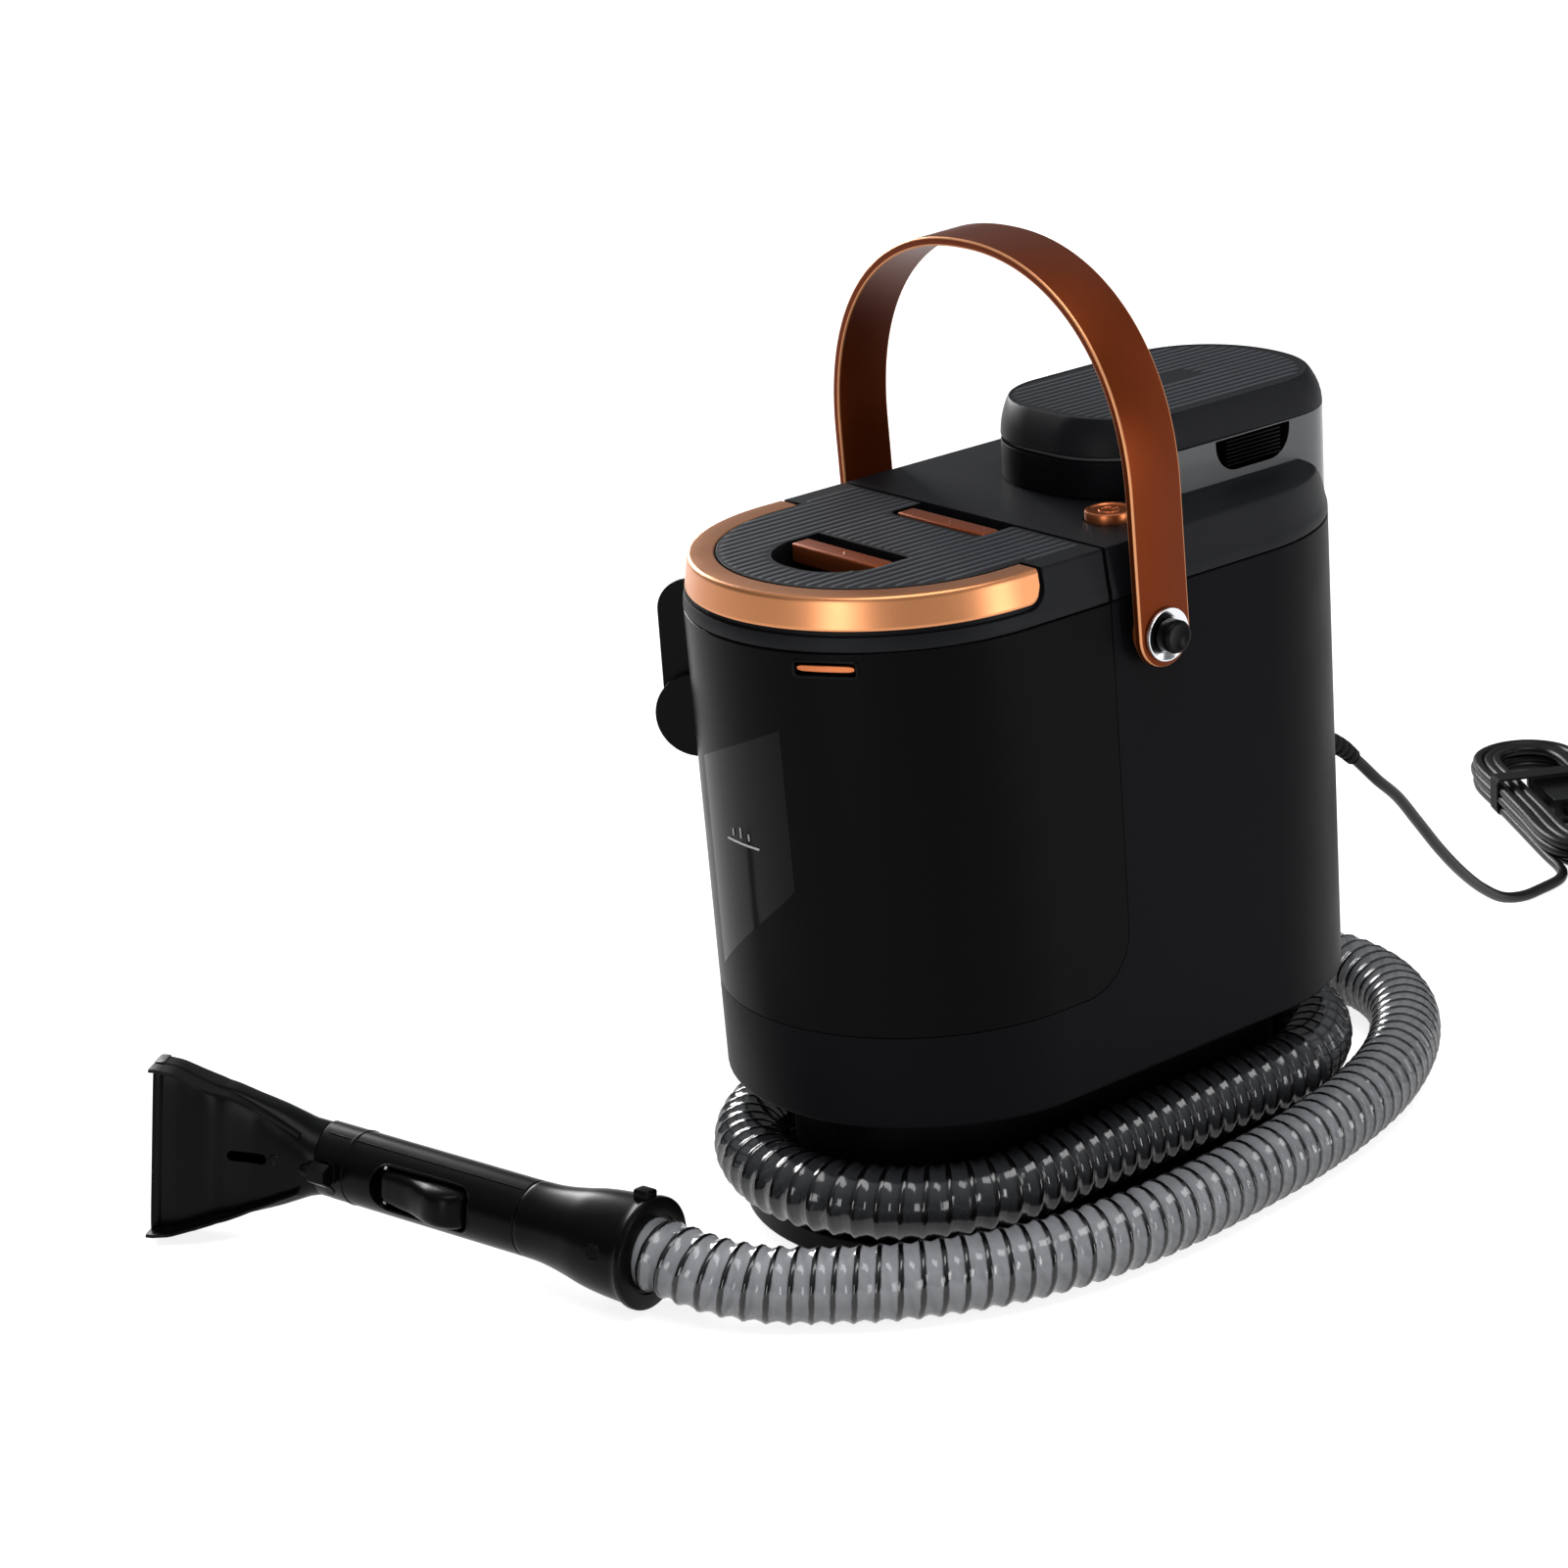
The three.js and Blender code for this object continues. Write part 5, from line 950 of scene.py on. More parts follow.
piece(make_lid(), "dirty_lid", TOP, "charcoal_plastic", "dirty_tank_lid")
piece(ribs("dirty_lid_ribs", lid_spans(), DECK_Z - 0.05), "dirty_lid", CREST_SHADED, "charcoal_plastic")
piece(make_trim(), "dirty_lid", COPPER, "copper_paint", "dirty_lid_trim")


def make_bar(name, x, body, cad):
    """Pull bar: a bar with a crowned top and round ends, on its stub pins, with a fine arrow on top."""
    half, reach, pin_reach = 5.2, RECESS_HALF - 2.5, RECESS_HALF + 1.2
    bar = box(name, x - half, x + half, -reach, reach, DECK_Z - 9.7, DECK_Z - 0.2, 1.3, 4)
    pin = lathe("pin", [(2, -pin_reach), (2, pin_reach)], (x, 0, DECK_Z - 6.5), "Y", 20)
    arrow = at_level([(x - 2.2, -4.5), (x + 1.8, 0), (x - 2.2, 4.5)], DECK_Z - 0.25)
    mark = tube("arrow", arrow, 0.22, 8)
    piece(join(bar, pin, mark), body, SADDLE, "copper_paint", cad)


make_bar("front_bar_shell", -102.5, "front_bar", "front_pull_bar")
make_bar("rear_bar_shell", -38.5, "rear_bar", "rear_pull_bar")

# ---------------------------------------------------------------- plain pieces
PLAIN = (
    (BLACK, "dirty_standpipe float_cage under_pan switch_body fan_case water_pump inner_shelf"),
    (RUBBER, "foot_front_left foot_front_right foot_rear_left foot_rear_right clean_lid_seal"),
    (STEEL, "motor_can fan_impeller lid_hinge_pin tool_trigger_pin"),
    (WHITE, "float_ball"), (CHARCOAL, "tank_well"), (SHEATH, "mains_plug"),
)
for mat, nodes in PLAIN:
    for cad in nodes.split():
        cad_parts[cad].data.materials.clear()
        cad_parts[cad].data.materials.append(mat)


# ---------------------------------------------------------------- clean tank
def make_clean_tank():
    """Clean tank: drawn in where it passes the collar, with a thin clear wall, open at the top."""
    drawn = -3.3

    def form(name, grow, z0, z1):
        """The tank's volume between two levels: full behind the collar, drawn in ahead of it."""
        behind = COLLAR_X1 + GAP - grow
        low = prism(name, lower_tank(grow), z0, z1)
        boolean(low, slab("lowhalf", behind, FAR), "INTERSECT")
        boolean(low, prism("base", lower_tank(drawn + grow), z0, z1), "UNION")
        front = prism("front", upper_tank(drawn + grow), SEAM_Z - 40, z1)
        boolean(low, boolean(front, slab("ahead", -100, 120), "INTERSECT"), "UNION")
        rear = prism("rear", upper_tank(grow), SEAM_Z + GAP - grow, z1)
        boolean(rear, slab("half", behind, FAR), "INTERSECT")
        return boolean(low, rear, "UNION")

    ob = form("clean_tank_shell", 0.0, WELL_FLOOR + GAP, CLEAN_TOP)
    cut(ob, form("inner", -WALL, WELL_FLOOR + GAP + WALL, CLEAN_TOP + 2))
    return clean_shading(ob)


def lid_plan(drawn):
    """Clean lid's outline: it draws in less along its sides than at its ends."""
    return oval_plan(-drawn, -0.45 * drawn)


def make_clean_lid():
    """Clean lid: upright at its foot, flaring inwards to a crisp top edge round a flat top."""
    levels = [(CLEAN_TOP + 0.3, 0.7), (CLEAN_TOP + 0.7, 0.1), (CLEAN_TOP + 1.1, 0.0)]
    levels += [(354.5, 0.5), (358.0, 1.5), (361.0, 2.8), (363.5, 4.2), (365.6, 5.6), (366.8, 6.6)]
    levels += [(367.25, 7.2), (LID_TOP, 7.7), (LID_TOP - 0.05, 8.8), (LID_TOP - 0.4, 9.8)]
    ob = loft("clean_lid_shell", [at_level(lid_plan(d), z) for z, d in levels])
    cut(ob, prism("under", lid_plan(4), 340, CLEAN_TOP + 2))
    return clean_shading(ob)


def clean_lid_spans():
    """Stretches of the clean lid's ribs: clear of the edge, with a bare panel in the middle."""
    edge = lid_plan(11.2)
    for k in range(-10, 11):
        y = k * RIB
        near = edge[np.abs(edge[:, 1] - y) < 3.0, 0]
        if len(near) == 0 or abs(y) > edge[:, 1].max() - 2:
            continue
        x0, x1 = crossing(edge, y)
        yield y, [(x0, 72), (122, x1)] if abs(y) < 8 else [(x0, x1)]


def crossing(outline, y):
    """Least and greatest X at which a closed outline crosses a line of constant Y."""
    a, b = outline, np.roll(outline, -1, axis=0)
    hit = (a[:, 1] - y) * (b[:, 1] - y) <= 0
    hit &= np.abs(b[:, 1] - a[:, 1]) > 1e-9
    x = a[hit, 0] + (y - a[hit, 1]) * (b[hit, 0] - a[hit, 0]) / (b[hit, 1] - a[hit, 1])
    return x.min(), x.max()


def make_tab():
    """Lid tab: a D-shaped plate below the lid's near side, with faint ribs across it."""
    x0, x1, low, r = REAR_X - 89, REAR_X - 39, CLEAN_TOP - 17, 14.0
    left, right = arc(x0 + r, low + r, r, 180, 270, 12), arc(x1 - r, low + r, r, 270, 360, 12)
    side = np.vstack([[(x0, CLEAN_TOP)], left, right, [(x1, CLEAN_TOP)]])
    ob = prism_y("tab_plate", side, -CLEAN_HALF, -CLEAN_HALF + 2.2)
    round_edges(ob, 0.5, 3, 40)
    bars = [box("bar", x0 + 7, x1 - 7, -CLEAN_HALF - 0.25, -CLEAN_HALF + 1, z, z + 0.7, 0.15, 2)
            for z in np.arange(low + 3, CLEAN_TOP - 2, 1.9)]
    return join(ob, *bars)


piece(make_clean_tank(), "clean_tank_body", SMOKE, "smoke_tank", "clean_tank")
piece(make_clean_lid(), "clean_lid", TOP, "charcoal_plastic", "clean_tank_lid")
piece(ribs("clean_lid_ribs", clean_lid_spans(), LID_TOP - 0.42, 0.5), "clean_lid", CREST_SHADED, "charcoal_plastic")
piece(make_tab(), "clean_lid", BLACK, "black_plastic", "clean_lid_tab")

# ---------------------------------------------------------------- handle
LEAN = -1.9
WASHER_SEAT = 104.6


def strap_line(half, spring, rise, power, width, thick):
    """The strap's middle line in its own plane: a leg, a superellipse arch and the other leg."""
    a = np.linspace(0, math.pi, 161)
    c, s = np.cos(a), np.sin(a)
    mid = thick / 2
    arch = np.column_stack([(half - mid) * np.sign(c) * np.abs(c) ** (2 / power),
                            spring + (rise - mid) * np.abs(s) ** (2 / power)])
    drop = PIVOT[2] - width / 2 + width / 2 * (1 - np.cos(np.linspace(0, math.pi / 2, 20)))
    leg = np.concatenate([drop, np.linspace(PIVOT[2], spring, 12)[1:-1]])
    right = np.column_stack([np.full(len(leg), half - mid), leg])
    return np.vstack([right, arch, right[::-1] * (-1, 1)])


def make_strap():
    """Carry handle: a rounded strip swept up one leg, over a superellipse arch and down the other leg."""
    half, spring, width, thick = 104.3, 350.7, 31.0, 4.4
    line = strap_line(half, spring, 108.6, 2.2, width, thick)
    tan = np.gradient(line, axis=0)
    tan /= np.linalg.norm(tan, axis=1)[:, None]
    out = np.column_stack([tan[:, 1], -tan[:, 0]])
    dz = np.clip(PIVOT[2] - line[:, 1], 0, width / 2)
    w = np.sqrt(np.maximum((width / 2) ** 2 - dz ** 2, 0.05))
    w = np.where(np.abs(line[:, 0]) < half - thick / 2 - 1, width / 2, w)
    turns = np.array(((1, 1, 0), (-1, 1, 90), (-1, -1, 180), (1, -1, 270)))
    cx, cy, a0 = np.repeat(turns, 5, axis=0).T
    t = np.radians(a0 + 22.5 * np.tile(np.arange(5), 4))
    w = w[:, None]
    r = np.minimum(1.1, w * 0.45)
    lift = cy * (thick / 2 - r) + r * np.sin(t)
    side = cx * (w - r) + r * np.cos(t)
    rings = np.stack([side, line[:, :1] + out[:, :1] * lift, line[:, 1:] + out[:, 1:] * lift], -1)
    ob = loft("strap", rings, True, 60)
    # Painted highlight: the edge attribute marks the middle points of each rounded corner, which the strap's
    # material makes bright copper.
    mark_points(ob, "edge", np.tile([0.0, 1.0, 1.0, 1.0, 0.0], 4 * len(rings)))
    ob.data.transform(Matrix.Translation((PIVOT[0] * MM, 0, 0)))
    pivot = Vector(PIVOT)
    return place(ob, Matrix.Translation(pivot) @ turned("Y", LEAN) @ Matrix.Translation(-pivot))


def make_pivots():
    """Dished chrome washers and black knobs at the strap's ends."""
    centre = (PIVOT[0], 0, PIVOT[2])
    dish = [(8.2, 0.2), (12.2, 0.0), (12.6, 0.3), (12.6, 1.5), (12.4, 1.95), (12.0, 2.05)]
    dish += [(11.6, 1.9), (8.6, 0.95), (8.2, 0.8)]
    knob = [(5.6, -12), (5.6, 1.2), (7.2, 1.3), (7.7, 1.8), (7.8, 2.6), (7.8, 7.6), (7.4, 8.4)]
    knob += [(6.6, 8.7), (5.6, 8.6), (5.2, 8.3), (0, 8.2)]
    for side, tag in ((-1, "near"), (1, "far")):
        ring, stud = ([(r, side * (WASHER_SEAT + h)) for r, h in outline] for outline in (dish, knob))
        washer = lathe("washer_" + tag, ring, centre, "Y", 64, 50)
        piece(washer, "handle", CHROME, "chrome", "handle_washer_" + tag)
        screw = lathe("knob_" + tag, stud, centre, "Y", 48, 50)
        piece(screw, "housing", GLOSS, "black_plastic", "pivot_knob_" + tag)


piece(make_strap(), "handle", STRAP, "copper_paint", "handle_strap")
make_pivots()


def make_button():
    """Power button: a rimmed copper cap with a raised power sign, a broken ring and a bar."""
    top = DECK_Z + 4.8
    cap = [(BUTTON_R - 0.2, DECK_Z - 1.2), (BUTTON_R, DECK_Z), (BUTTON_R, top - 1.4)]
    cap += [(BUTTON_R - 0.3, top - 0.4), (BUTTON_R - 1, top), (BUTTON_R - 2, top - 0.05)]
    cap += [(BUTTON_R - 2.7, top - 0.7), (0, top - 0.8)]
    ob = lathe("button_cap", cap, (*BUTTON, 0), "Z", 64)
    ring = at_level(arc(*BUTTON, 4.6, 35, 325, 40), top - 0.75)
    bar = np.array([(BUTTON[0] + d, BUTTON[1], top - 0.75) for d in (1.2, 3.0, 5.4)])
    return join(ob, tube("sign_ring", ring, 0.55, 10), tube("sign_bar", bar, 0.55, 10))


piece(make_button(), "button", AMBER, "copper_paint", "power_button")

# ---------------------------------------------------------------- hand tool
CUFF_R, CUFF_L, GRIP_R, GRIP_L = 27.0, 68.0, 18.3, 126.0
NOZZLE_L, NOZZLE_HALF, NOZZLE_T = 86.7, 43.6, 8.7


NECK_BEND, TOOL_TILT = 27.3, 2.6
CUFF_AT = (-243.7, -4.5, CUFF_R * math.cos(math.radians(TOOL_TILT)))
TOOL = Matrix.Translation(CUFF_AT) @ turned("Z", 17) @ turned("X", TOOL_TILT) @ turned("Y", 10)
HEAD = TOOL @ Matrix.Translation((0, CUFF_L + GRIP_L, 0)) @ turned("Z", NECK_BEND) @ turned("X", -1)


def smooth_profile(points):
    """A profile rounded by a curve through its points."""
    return spline([(r, h, 0) for r, h in points], 1.5)[0][:, :2]


def across(points, x):
    """(Y, Z) points set at a station along X."""
    points = np.asarray(points, float)
    return np.column_stack([np.full(len(points), float(x)), points])


def make_cuff():
    """Cuff: a curved flare from the grip to a rimmed mouth, with a latch lug and a screw hole."""
    flare = smooth_profile([(25.5, 8), (25.2, 14), (24.6, 22), (23.3, 32), (21.2, 42), (19.6, 51), (18.7, 59),
                            (18.4, 67.4)])
    outer = [(18.9, 1.0), (19.3, 0.0), (CUFF_R - 1.2, 0.0), (CUFF_R - 0.3, 0.4), (CUFF_R, 1.3)]
    outer += [(CUFF_R, 3.2), (CUFF_R - 0.3, 4.1), (CUFF_R - 1, 4.6), (CUFF_R - 1.4, 5.4)]
    inner = [(18.2, 67.8), (14, 67.8), (14, 17), (18.9, 16)]
    ob = lathe("cuff_shell", outer + [tuple(p) for p in flare] + inner, (0, 0, 0), "Y", 96, 40)
    lug = box("lug", -4, 4, 2.4, 11.4, 24, 30, 1.4, 4)
    hole = lathe("screw_ring", [(2.6, 22.6), (4.2, 22.6), (4.2, 25.2), (3.9, 25.5), (2.9, 25.5), (2.6, 25.1)],
                 (0, -17, 0), "X", 28)
    return place(join(ob, lug, place(hole, turned("Y", 6) @ turned("Z", 180))), TOOL)


def make_grip():
    """Grip: a tube cut by the neck's mitre, with the trigger's pocket and a parting line along its top."""
    y0, y1 = CUFF_L + GAP, CUFF_L + GRIP_L + 12
    outer = [(8, y0), (17.8, y0), (GRIP_R, y0 + 0.6), (GRIP_R, y1), (8, y1)]
    ob = lathe("grip_shell", outer, (0, 0, 0), "Y", 96)
    mitre = box("mitre", -120, 120, 0, 120, -120, 120)
    place(mitre, Matrix.Translation((0, CUFF_L + GRIP_L - GAP / 2, 0)) @ turned("Z", NECK_BEND / 2))
    side = tank_plan(-154.5, -95.0, 10.7, 9.5, 7, 0, 8)
    rim = np.column_stack([-side[:, 0], side[:, 1]])
    pocket = loft("pocket", [across(rim, x) for x in (-40, 6.5)])
    cut(ob, mitre, pocket)
    clean_shading(ob)
    rim = np.vstack([rim, rim[:2]])
    around = [(-math.sqrt(GRIP_R ** 2 - z * z) - 0.05, y, z) for y, z in rim * (1, 1.06)]
    lip = tube("pocket_lip", spline(around, 1.5)[0], 0.5, 10)
    lines = []
    stations = (y0 + 1, 110, 150, CUFF_L + GRIP_L - 6)
    for angle in (62, -74):
        a = math.radians(angle)
        run = [(-GRIP_R * math.cos(a), y, GRIP_R * math.sin(a)) for y in stations]
        lines.append(tube("parting", np.array(run), 0.28, 8))
    collar = [(GRIP_R - 0.2, 0), (GRIP_R + 0.35, 0.1), (GRIP_R + 0.35, 1.1), (GRIP_R - 0.2, 1.2)]
    neck = lathe("neck_ring", [(r, CUFF_L + GRIP_L - 22 + h) for r, h in collar], (0, 0, 0), "Y", 96)
    disc, disc_y = [(2.3, 18.0), (3.1, 18.0), (3.1, 18.75), (2.3, 18.75)], 181
    badge = lathe("round_mark", disc, (0, disc_y, 0), "X", 32)
    place(badge, Matrix.Translation((0, 2 * disc_y, 0)) @ turned("Z", 180) @ turned("Y", 32))
    return place(join(ob, lip, neck, badge, *lines), TOOL)


def make_trigger():
    """Trigger: a rounded lever, low at the pivot and bulging at the thumb's end."""
    shape = [(97.0, 11.5, 6.5), (98.2, 17.6, 8.2), (102, 23.4, 9.2), (108, 26.0, 9.6), (115, 25.6, 9.6),
             (122, 22.6, 9.4), (130, 19.4, 9.2), (141, 17.4, 8.8), (150, 15.6, 7.8), (152.6, 11.5, 6.0)]
    deep = 4.6
    t = np.linspace(0, TAU, 36, endpoint=False)
    c, s = np.cos(t), np.sin(t)
    rings = []
    for y, out, half in spline(shape, 1.6)[0]:
        mid, reach = (out + deep) / 2, (out - deep) / 2
        x = -(mid + reach * np.sign(c) * np.abs(c) ** 0.62)
        z = half * np.sign(s) * np.abs(s) ** 0.5
        rings.append(np.column_stack([x, np.full(36, y), z]))
    return place(loft("trigger_lever", rings, True, 60), TOOL)


def make_jet():
    """Spray jet: a six-sided body with a rounded tip and a feed boss, on the grip's side."""
    y0 = CUFF_L + GRIP_L - 12
    x = -GRIP_R - 4.6
    sides = [(5.0, -6.5), (5.7, -6), (5.7, 4), (5.0, 4.6), (3.6, 4.8), (3.6, 7)]
    sides += [(2.9, 9.4), (1.2, 9.8), (1.0, 8.6)]
    hexagon = lathe("jet_hex", sides, (x, y0, 0), "Y", 6, 20)
    tip = lathe("jet_tip", [(3.3, 4), (3.5, 8), (3.0, 10), (1.4, 10.4), (1.2, 9)], (x, y0, 0), "Y", 28)
    foot = lathe("jet_foot", [(6.6, -GRIP_R - 1.6), (6.6, -GRIP_R + 3)], (0, y0 - 1, 0), "X", 32)
    return place(join(hexagon, tip, foot), TOOL)


def nozzle_section(s, half, deep, power, n=72):
    """Superellipse across the nozzle at a distance along it: half its height, half its depth, squareness."""
    t = np.linspace(0, TAU, n, endpoint=False)
    c, q = np.cos(t), np.sin(t)
    z = half * np.sign(c) * np.abs(c) ** (2 / power)
    x = deep * np.sign(q) * np.abs(q) ** (2 / power)
    return np.column_stack([x, np.full(n, float(s)), z])


NOZZLE = [(-9, GRIP_R - 1, GRIP_R - 1, 2), (0, GRIP_R - 0.6, GRIP_R - 1, 2),
          (8, GRIP_R + 1, GRIP_R - 1.2, 2.1), (21.7, GRIP_R + 6.5, GRIP_R - 4.6, 2.8),
          (36, 29.4, 10.6, 4), (47, 33.0, 9.9, 5.4), (52, NOZZLE_HALF * 0.78, 10.3, 6),
          (55, 35.0, 10.9, 6.2), (59, 36.2, 10.8, 6.6), (65, 38.4, 9.9, 7),
          (75, NOZZLE_HALF - 1.4, NOZZLE_T, 8), (NOZZLE_L - 3.3, NOZZLE_HALF - 0.2, NOZZLE_T, 8)]


def nozzle_way(table):
    """Sections eased between the table's rows, closer together where the form curves."""
    cols = np.array(table, float)
    s = np.concatenate([np.linspace(cols[0, 0], 50, 26), np.linspace(52, cols[-1, 0], 14)])
    return [(v, *(np.interp(v, cols[:, 0], cols[:, k]) for k in (1, 2, 3))) for v in s]


def make_nozzle():
    """Nozzle: a fan lofted from round to a flat mouth, with standing rims, a lip and a sight slot."""
    way = nozzle_way(NOZZLE)
    ob = loft("nozzle_shell", [nozzle_section(*row) for row in way], True, 50)
    wall = 1.8
    ends = [0] * (len(way) - 1) + [1]
    inner = [nozzle_section(s + past, a - wall, b - wall, p) for (s, a, b, p), past in zip(way, ends)]
    cut(ob, loft("nozzle_inner", inner))
    mitre = box("mitre", -120, 120, -240, 0, -120, 120)
    place(mitre, Matrix.Translation((0, GAP, 0)) @ turned("Z", -NECK_BEND / 2))
    slot = tank_plan(29, 49, 2.6, 2.5, 2.5, 0, 8)
    hole = loft("slot", [across(slot, x) for x in (-40, -4)])
    cut(ob, mitre, hole)
    clean_shading(ob, 40)
    parts = [nozzle_rim(side) for side in (1, -1)]
    half = NOZZLE_HALF
    lip = [(81.5, half - 0.7, 8.0), (82, half, 9.2), (83.2, half, 9.9), (85.9, half, 9.7)]
    lip += [(NOZZLE_L, half - 0.4, 9.0), (NOZZLE_L, half - 2, 6.9), (81.5, half - 2.4, 6.9)]
    parts.append(loft("lip", [nozzle_section(s, a, b, 9) for s, a, b in lip], False, 40))
    rim, boss_y = [(3.3, 9.0), (3.3, 13.6), (3.0, 13.9), (2.3, 13.9), (2.0, 13.5), (0, 13.4)], 24.5
    boss = lathe("boss", rim, (0, boss_y, 0), "X", 32)
    parts.append(place(boss, Matrix.Translation((0, 2 * boss_y, 0)) @ turned("Z", 180)))
    return place(join(ob, *parts), HEAD)


def nozzle_rim(side):
    """Thin rim that stands out from the face along its top or bottom edge, with a rounded outer edge."""
    start, grown, stand = 12, 50, 9.2
    rings = []
    for s, a, b, p in nozzle_way(NOZZLE):
        if s < start:
            continue
        out = 0.4 + stand * min(1.0, (s - start) / grown) ** 1.3
        z1 = a * (1 - 0.75 ** p) ** (1 / p)
        z0, x0, x1 = z1 - 2, -0.7 * b, -b - out
        ring = [(x0, z0), (x1 + 0.9, z0), (x1 + 0.2, z0 + 0.35), (x1, z0 + 1)]
        ring += [(x1 + 0.2, z1 - 0.35), (x1 + 0.9, z1), (x0, z1)]
        rings.append([(x, s, side * z) for x, z in ring])
    tail = [(x, NOZZLE_L - 0.1, z) for x, _, z in rings[-1]]
    return loft("rim", rings + [tail], True, 40)


piece(make_cuff(), "housing", GLOSS, "black_plastic", "tool_cuff")
piece(make_grip(), "housing", GLOSS, "black_plastic", "tool_grip")
piece(make_trigger(), "trigger", GLOSS, "black_plastic", "tool_trigger")
piece(make_jet(), "housing", GLOSS, "black_plastic", "spray_jet")
piece(make_nozzle(), "nozzle", GLOSS, "black_plastic", "tool_nozzle")


# ---------------------------------------------------------------- holder, elbow, sleeve and tie
def make_holder():
    """Hose and tool holder: a rounded fin and a grooved drum on the far side of the dirty tank."""
    r0, out, low, top, r, heading = SEAM_R - 0.4, 15.6, 246, 311.0, 15.0, 130
    corner = arc(r0 + out - r, top - r, r, 0, 90, 16)
    side = np.vstack([[(r0 - 1, low), (r0 + out, low)], corner, [(r0 - 1, top)]])
    fin = prism_y("fin", side, -1.6, 1.6)
    round_edges(fin, 0.6, 3, 50)
    flange = [(17.5, 3), (20.0, 3.3), (20.5, 3.9), (20.5, 6.5), (20.0, 7.0), (0, 7.0)]
    other = [(radius, -h) for radius, h in flange[::-1]]
    drum = lathe("drum", [(17.5, -3)] + flange + other[:-1], (r0 - 1.3, 0, low), "Y", 64)
    body = body_loft("tank_side", BAND_TOP, SEAM_Z, 0, 0, -GAP, 64)
    turn = Matrix.Translation((SEAM_NOSE, 0, 0)) @ turned("Z", heading)
    cut(place(fin, turn), keep_copy(body))
    cut(place(drum, turn), body)
    return clean_shading(join(fin, drum))


def keep_copy(ob):
    """A second object with the same mesh, to cut with once more."""
    twin = bpy.data.objects.new(ob.name + "_twin", ob.data.copy())
    bpy.context.scene.collection.objects.link(twin)
    return twin


def make_elbow():
    """Elbow that carries the hose's end out of the core."""
    x = SEAM_REAR + CORE_R
    turn = arc(x, PORT_Y - PORT_BEND, PORT_BEND, 90, 0, 12)
    way = np.vstack([[(x - 9, PORT_Y)], turn, [(x + PORT_BEND, PORT_Y - PORT_BEND - 6)]])
    return tube("elbow", at_level(way, HOSE_LEVEL), HOSE_R - 0.7, 48)


def make_sleeve():
    """Cord sleeve: it tapers along the cord's first stretch, with raised rings between slits."""
    way, s = spline([(164, -10, 165), (172, -10, 164.9), (184, -10, 164.2), (196, -10, 160), (209, -10, 152),
                     (217, -9.4, 145.0)], 0.8)
    u = s / s[-1]
    radius = 6.9 - 2.6 * u - 0.8 * ((s % 5.2) < 1.3) * (s > 16)
    return tube("sleeve", way, radius[:, None], 28)


def make_tie():
    """Hook-and-loop tie round the hank: a rounded band of even thickness."""
    low, high, half, thick, wide, shift = 0.4, 22.6, 35.4, 1.2, 12, 22
    outer = tank_plan(low, high, half, 3, 3, 0, 5)[:, ::-1]
    inner = tank_plan(low + thick, high - thick, half - thick, 2, 2, 0, 5)[:, ::-1]
    x = wide / 2
    loops = [across(*ring) for ring in ((outer, -x), (outer, x), (inner, x), (inner, -x), (outer, -x))]
    at_hank = Matrix.Translation((*HANK[:2], 0)) @ turned("Z", HANK[2])
    return place(loft("tie", loops, False, 40), at_hank @ Matrix.Translation((shift, 0, 0)))


piece(make_holder(), "dirty_tank_body", BLACK, "black_plastic", "tool_holder")
piece(make_elbow(), "housing", BLACK, "black_plastic", "hose_elbow")
piece(make_sleeve(), "housing", RUBBER, "cord_sheath", "cord_gland")
piece(make_tie(), "housing", RUBBER, "cord_sheath")


# ---------------------------------------------------------------- stage
def show_background(nt, strength):
    """Mask that is 1 for camera, mirror and see-through rays, times a strength."""
    path = nt.nodes.new("ShaderNodeLightPath")
    both = node(nt, "ShaderNodeMath", operation="MAXIMUM")
    nt.links.new(path.outputs["Is Camera Ray"], both.inputs[0])
    nt.links.new(path.outputs["Is Glossy Ray"], both.inputs[1])
    every = node(nt, "ShaderNodeMath", operation="MAXIMUM")
    nt.links.new(both.outputs[0], every.inputs[0])
    nt.links.new(path.outputs["Is Transmission Ray"], every.inputs[1])
    times = node(nt, "ShaderNodeMath", operation="MULTIPLY")
    times.inputs[1].default_value = strength
    nt.links.new(every.outputs[0], times.inputs[0])
    return times


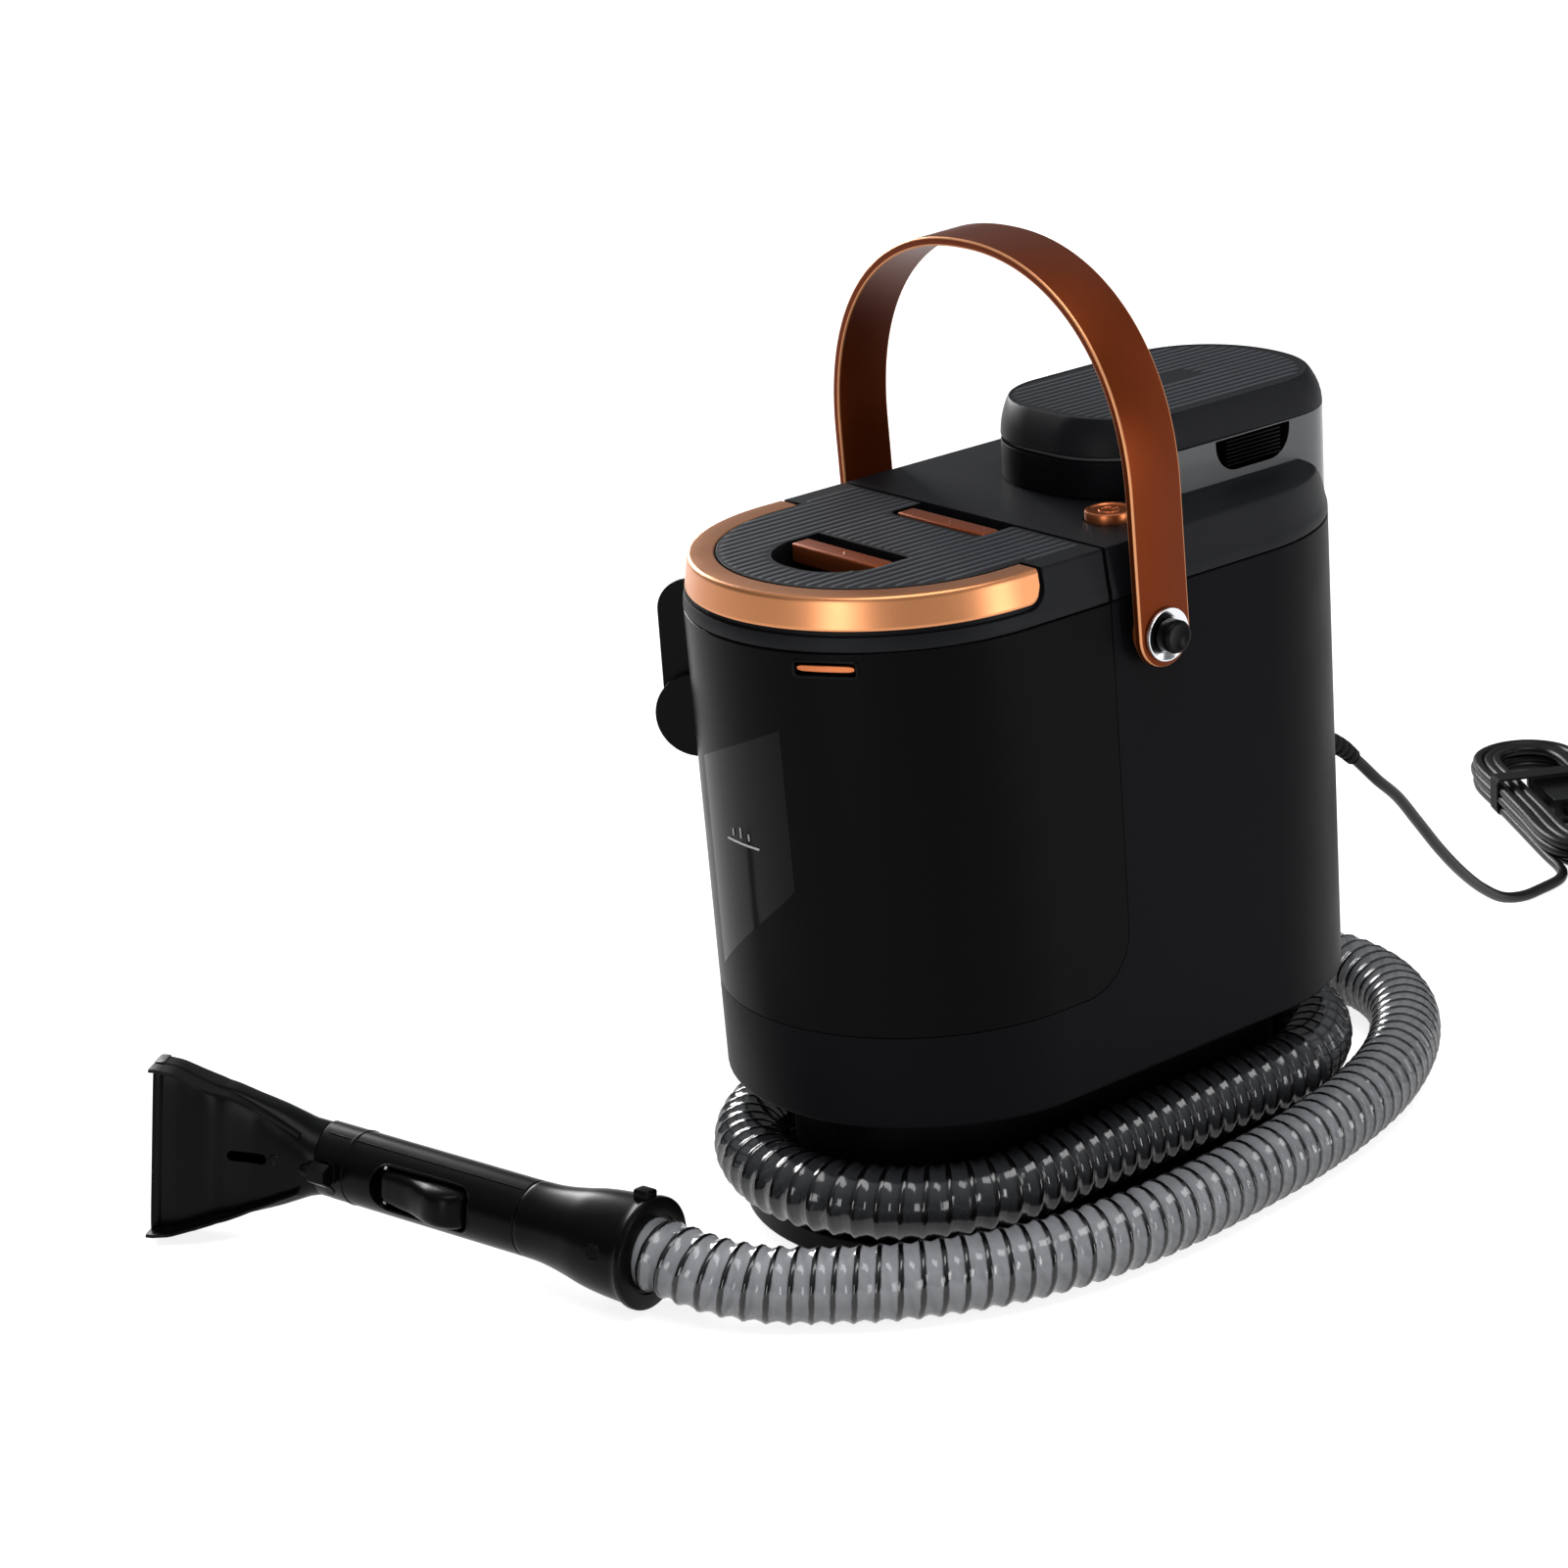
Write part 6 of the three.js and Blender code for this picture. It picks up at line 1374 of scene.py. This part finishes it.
def make_floor():
    """White floor: part of its light is its own, so that it reads white and still takes a faint shadow."""
    size = 15000
    corners = [(-size, -size), (size, -size), (size, size), (-size, size)]
    floor = mesh_object("floor", at_level(corners, -0.1), [(0, 1, 2, 3)])
    mat, nt, bsdf = new_material("floor")
    bsdf.inputs["Base Color"].default_value = (0.36, 0.36, 0.36, 1)
    bsdf.inputs["Roughness"].default_value = 1.0
    bsdf.inputs["Specular IOR Level"].default_value = 0.0
    bsdf.inputs["Emission Color"].default_value = (1, 1, 1, 1)
    nt.links.new(show_background(nt, 0.84).outputs[0], bsdf.inputs["Emission Strength"])
    floor.data.materials.append(mat)


def make_world():
    """Studio sky: dim at the horizon, bright overhead."""
    world = bpy.data.worlds.new("world")
    bpy.context.scene.world = world
    world.use_nodes = True
    nt = world.node_tree
    back = nt.nodes["Background"]
    coord = nt.nodes.new("ShaderNodeTexCoord")
    split = nt.nodes.new("ShaderNodeSeparateXYZ")
    nt.links.new(coord.outputs["Generated"], split.inputs[0])
    span = node(nt, "ShaderNodeMapRange", interpolation_type="SMOOTHSTEP")
    span.inputs[1].default_value, span.inputs[2].default_value = 0.15, 0.95
    span.inputs[3].default_value, span.inputs[4].default_value = 0.16, 0.72
    nt.links.new(split.outputs["Z"], span.inputs[0])
    nt.links.new(span.outputs[0], back.inputs[1])
    back.inputs[0].default_value = (0.94, 0.97, 1.0, 1)


def make_lights():
    """Softboxes: two low ones at the nose and the near side, one behind, one above, one off the rear.

    Each row gives a name, a place, an aim, a width, a height and a power.
    """
    lights = [("nose_strip", (-1.75, -0.72, 0.36), (-0.1, 0, 0.2), 0.5, 0.7, 7.5),
              ("side_strip", (0.62, -1.62, 0.34), (0, 0, 0.2), 0.3, 0.6, 6),
              ("rear_soft", (0.38, 2.35, 1.0), (0, 0, 0.3), 1.1, 0.6, 56),
              ("top_soft", (-0.3, -0.7, 2.2), (-0.05, 0, 0.2), 1.8, 0.8, 30),
              ("edge_strip", (1.9, -1.2, 0.9), (0, 0, 0.2), 0.3, 1.4, 5)]
    for name, spot, aim, sx, sy, power in lights:
        data = bpy.data.lights.new(name, "AREA")
        data.shape = "RECTANGLE"
        data.size, data.size_y, data.energy = sx, sy, power
        lamp = bpy.data.objects.new(name, data)
        bpy.context.scene.collection.objects.link(lamp)
        lamp.location = spot
        lamp.rotation_euler = (Vector(aim) - Vector(spot)).to_track_quat("-Z", "Y").to_euler()


make_floor()
make_world()
make_lights()
bpy.context.scene.view_settings.view_transform = "Standard"
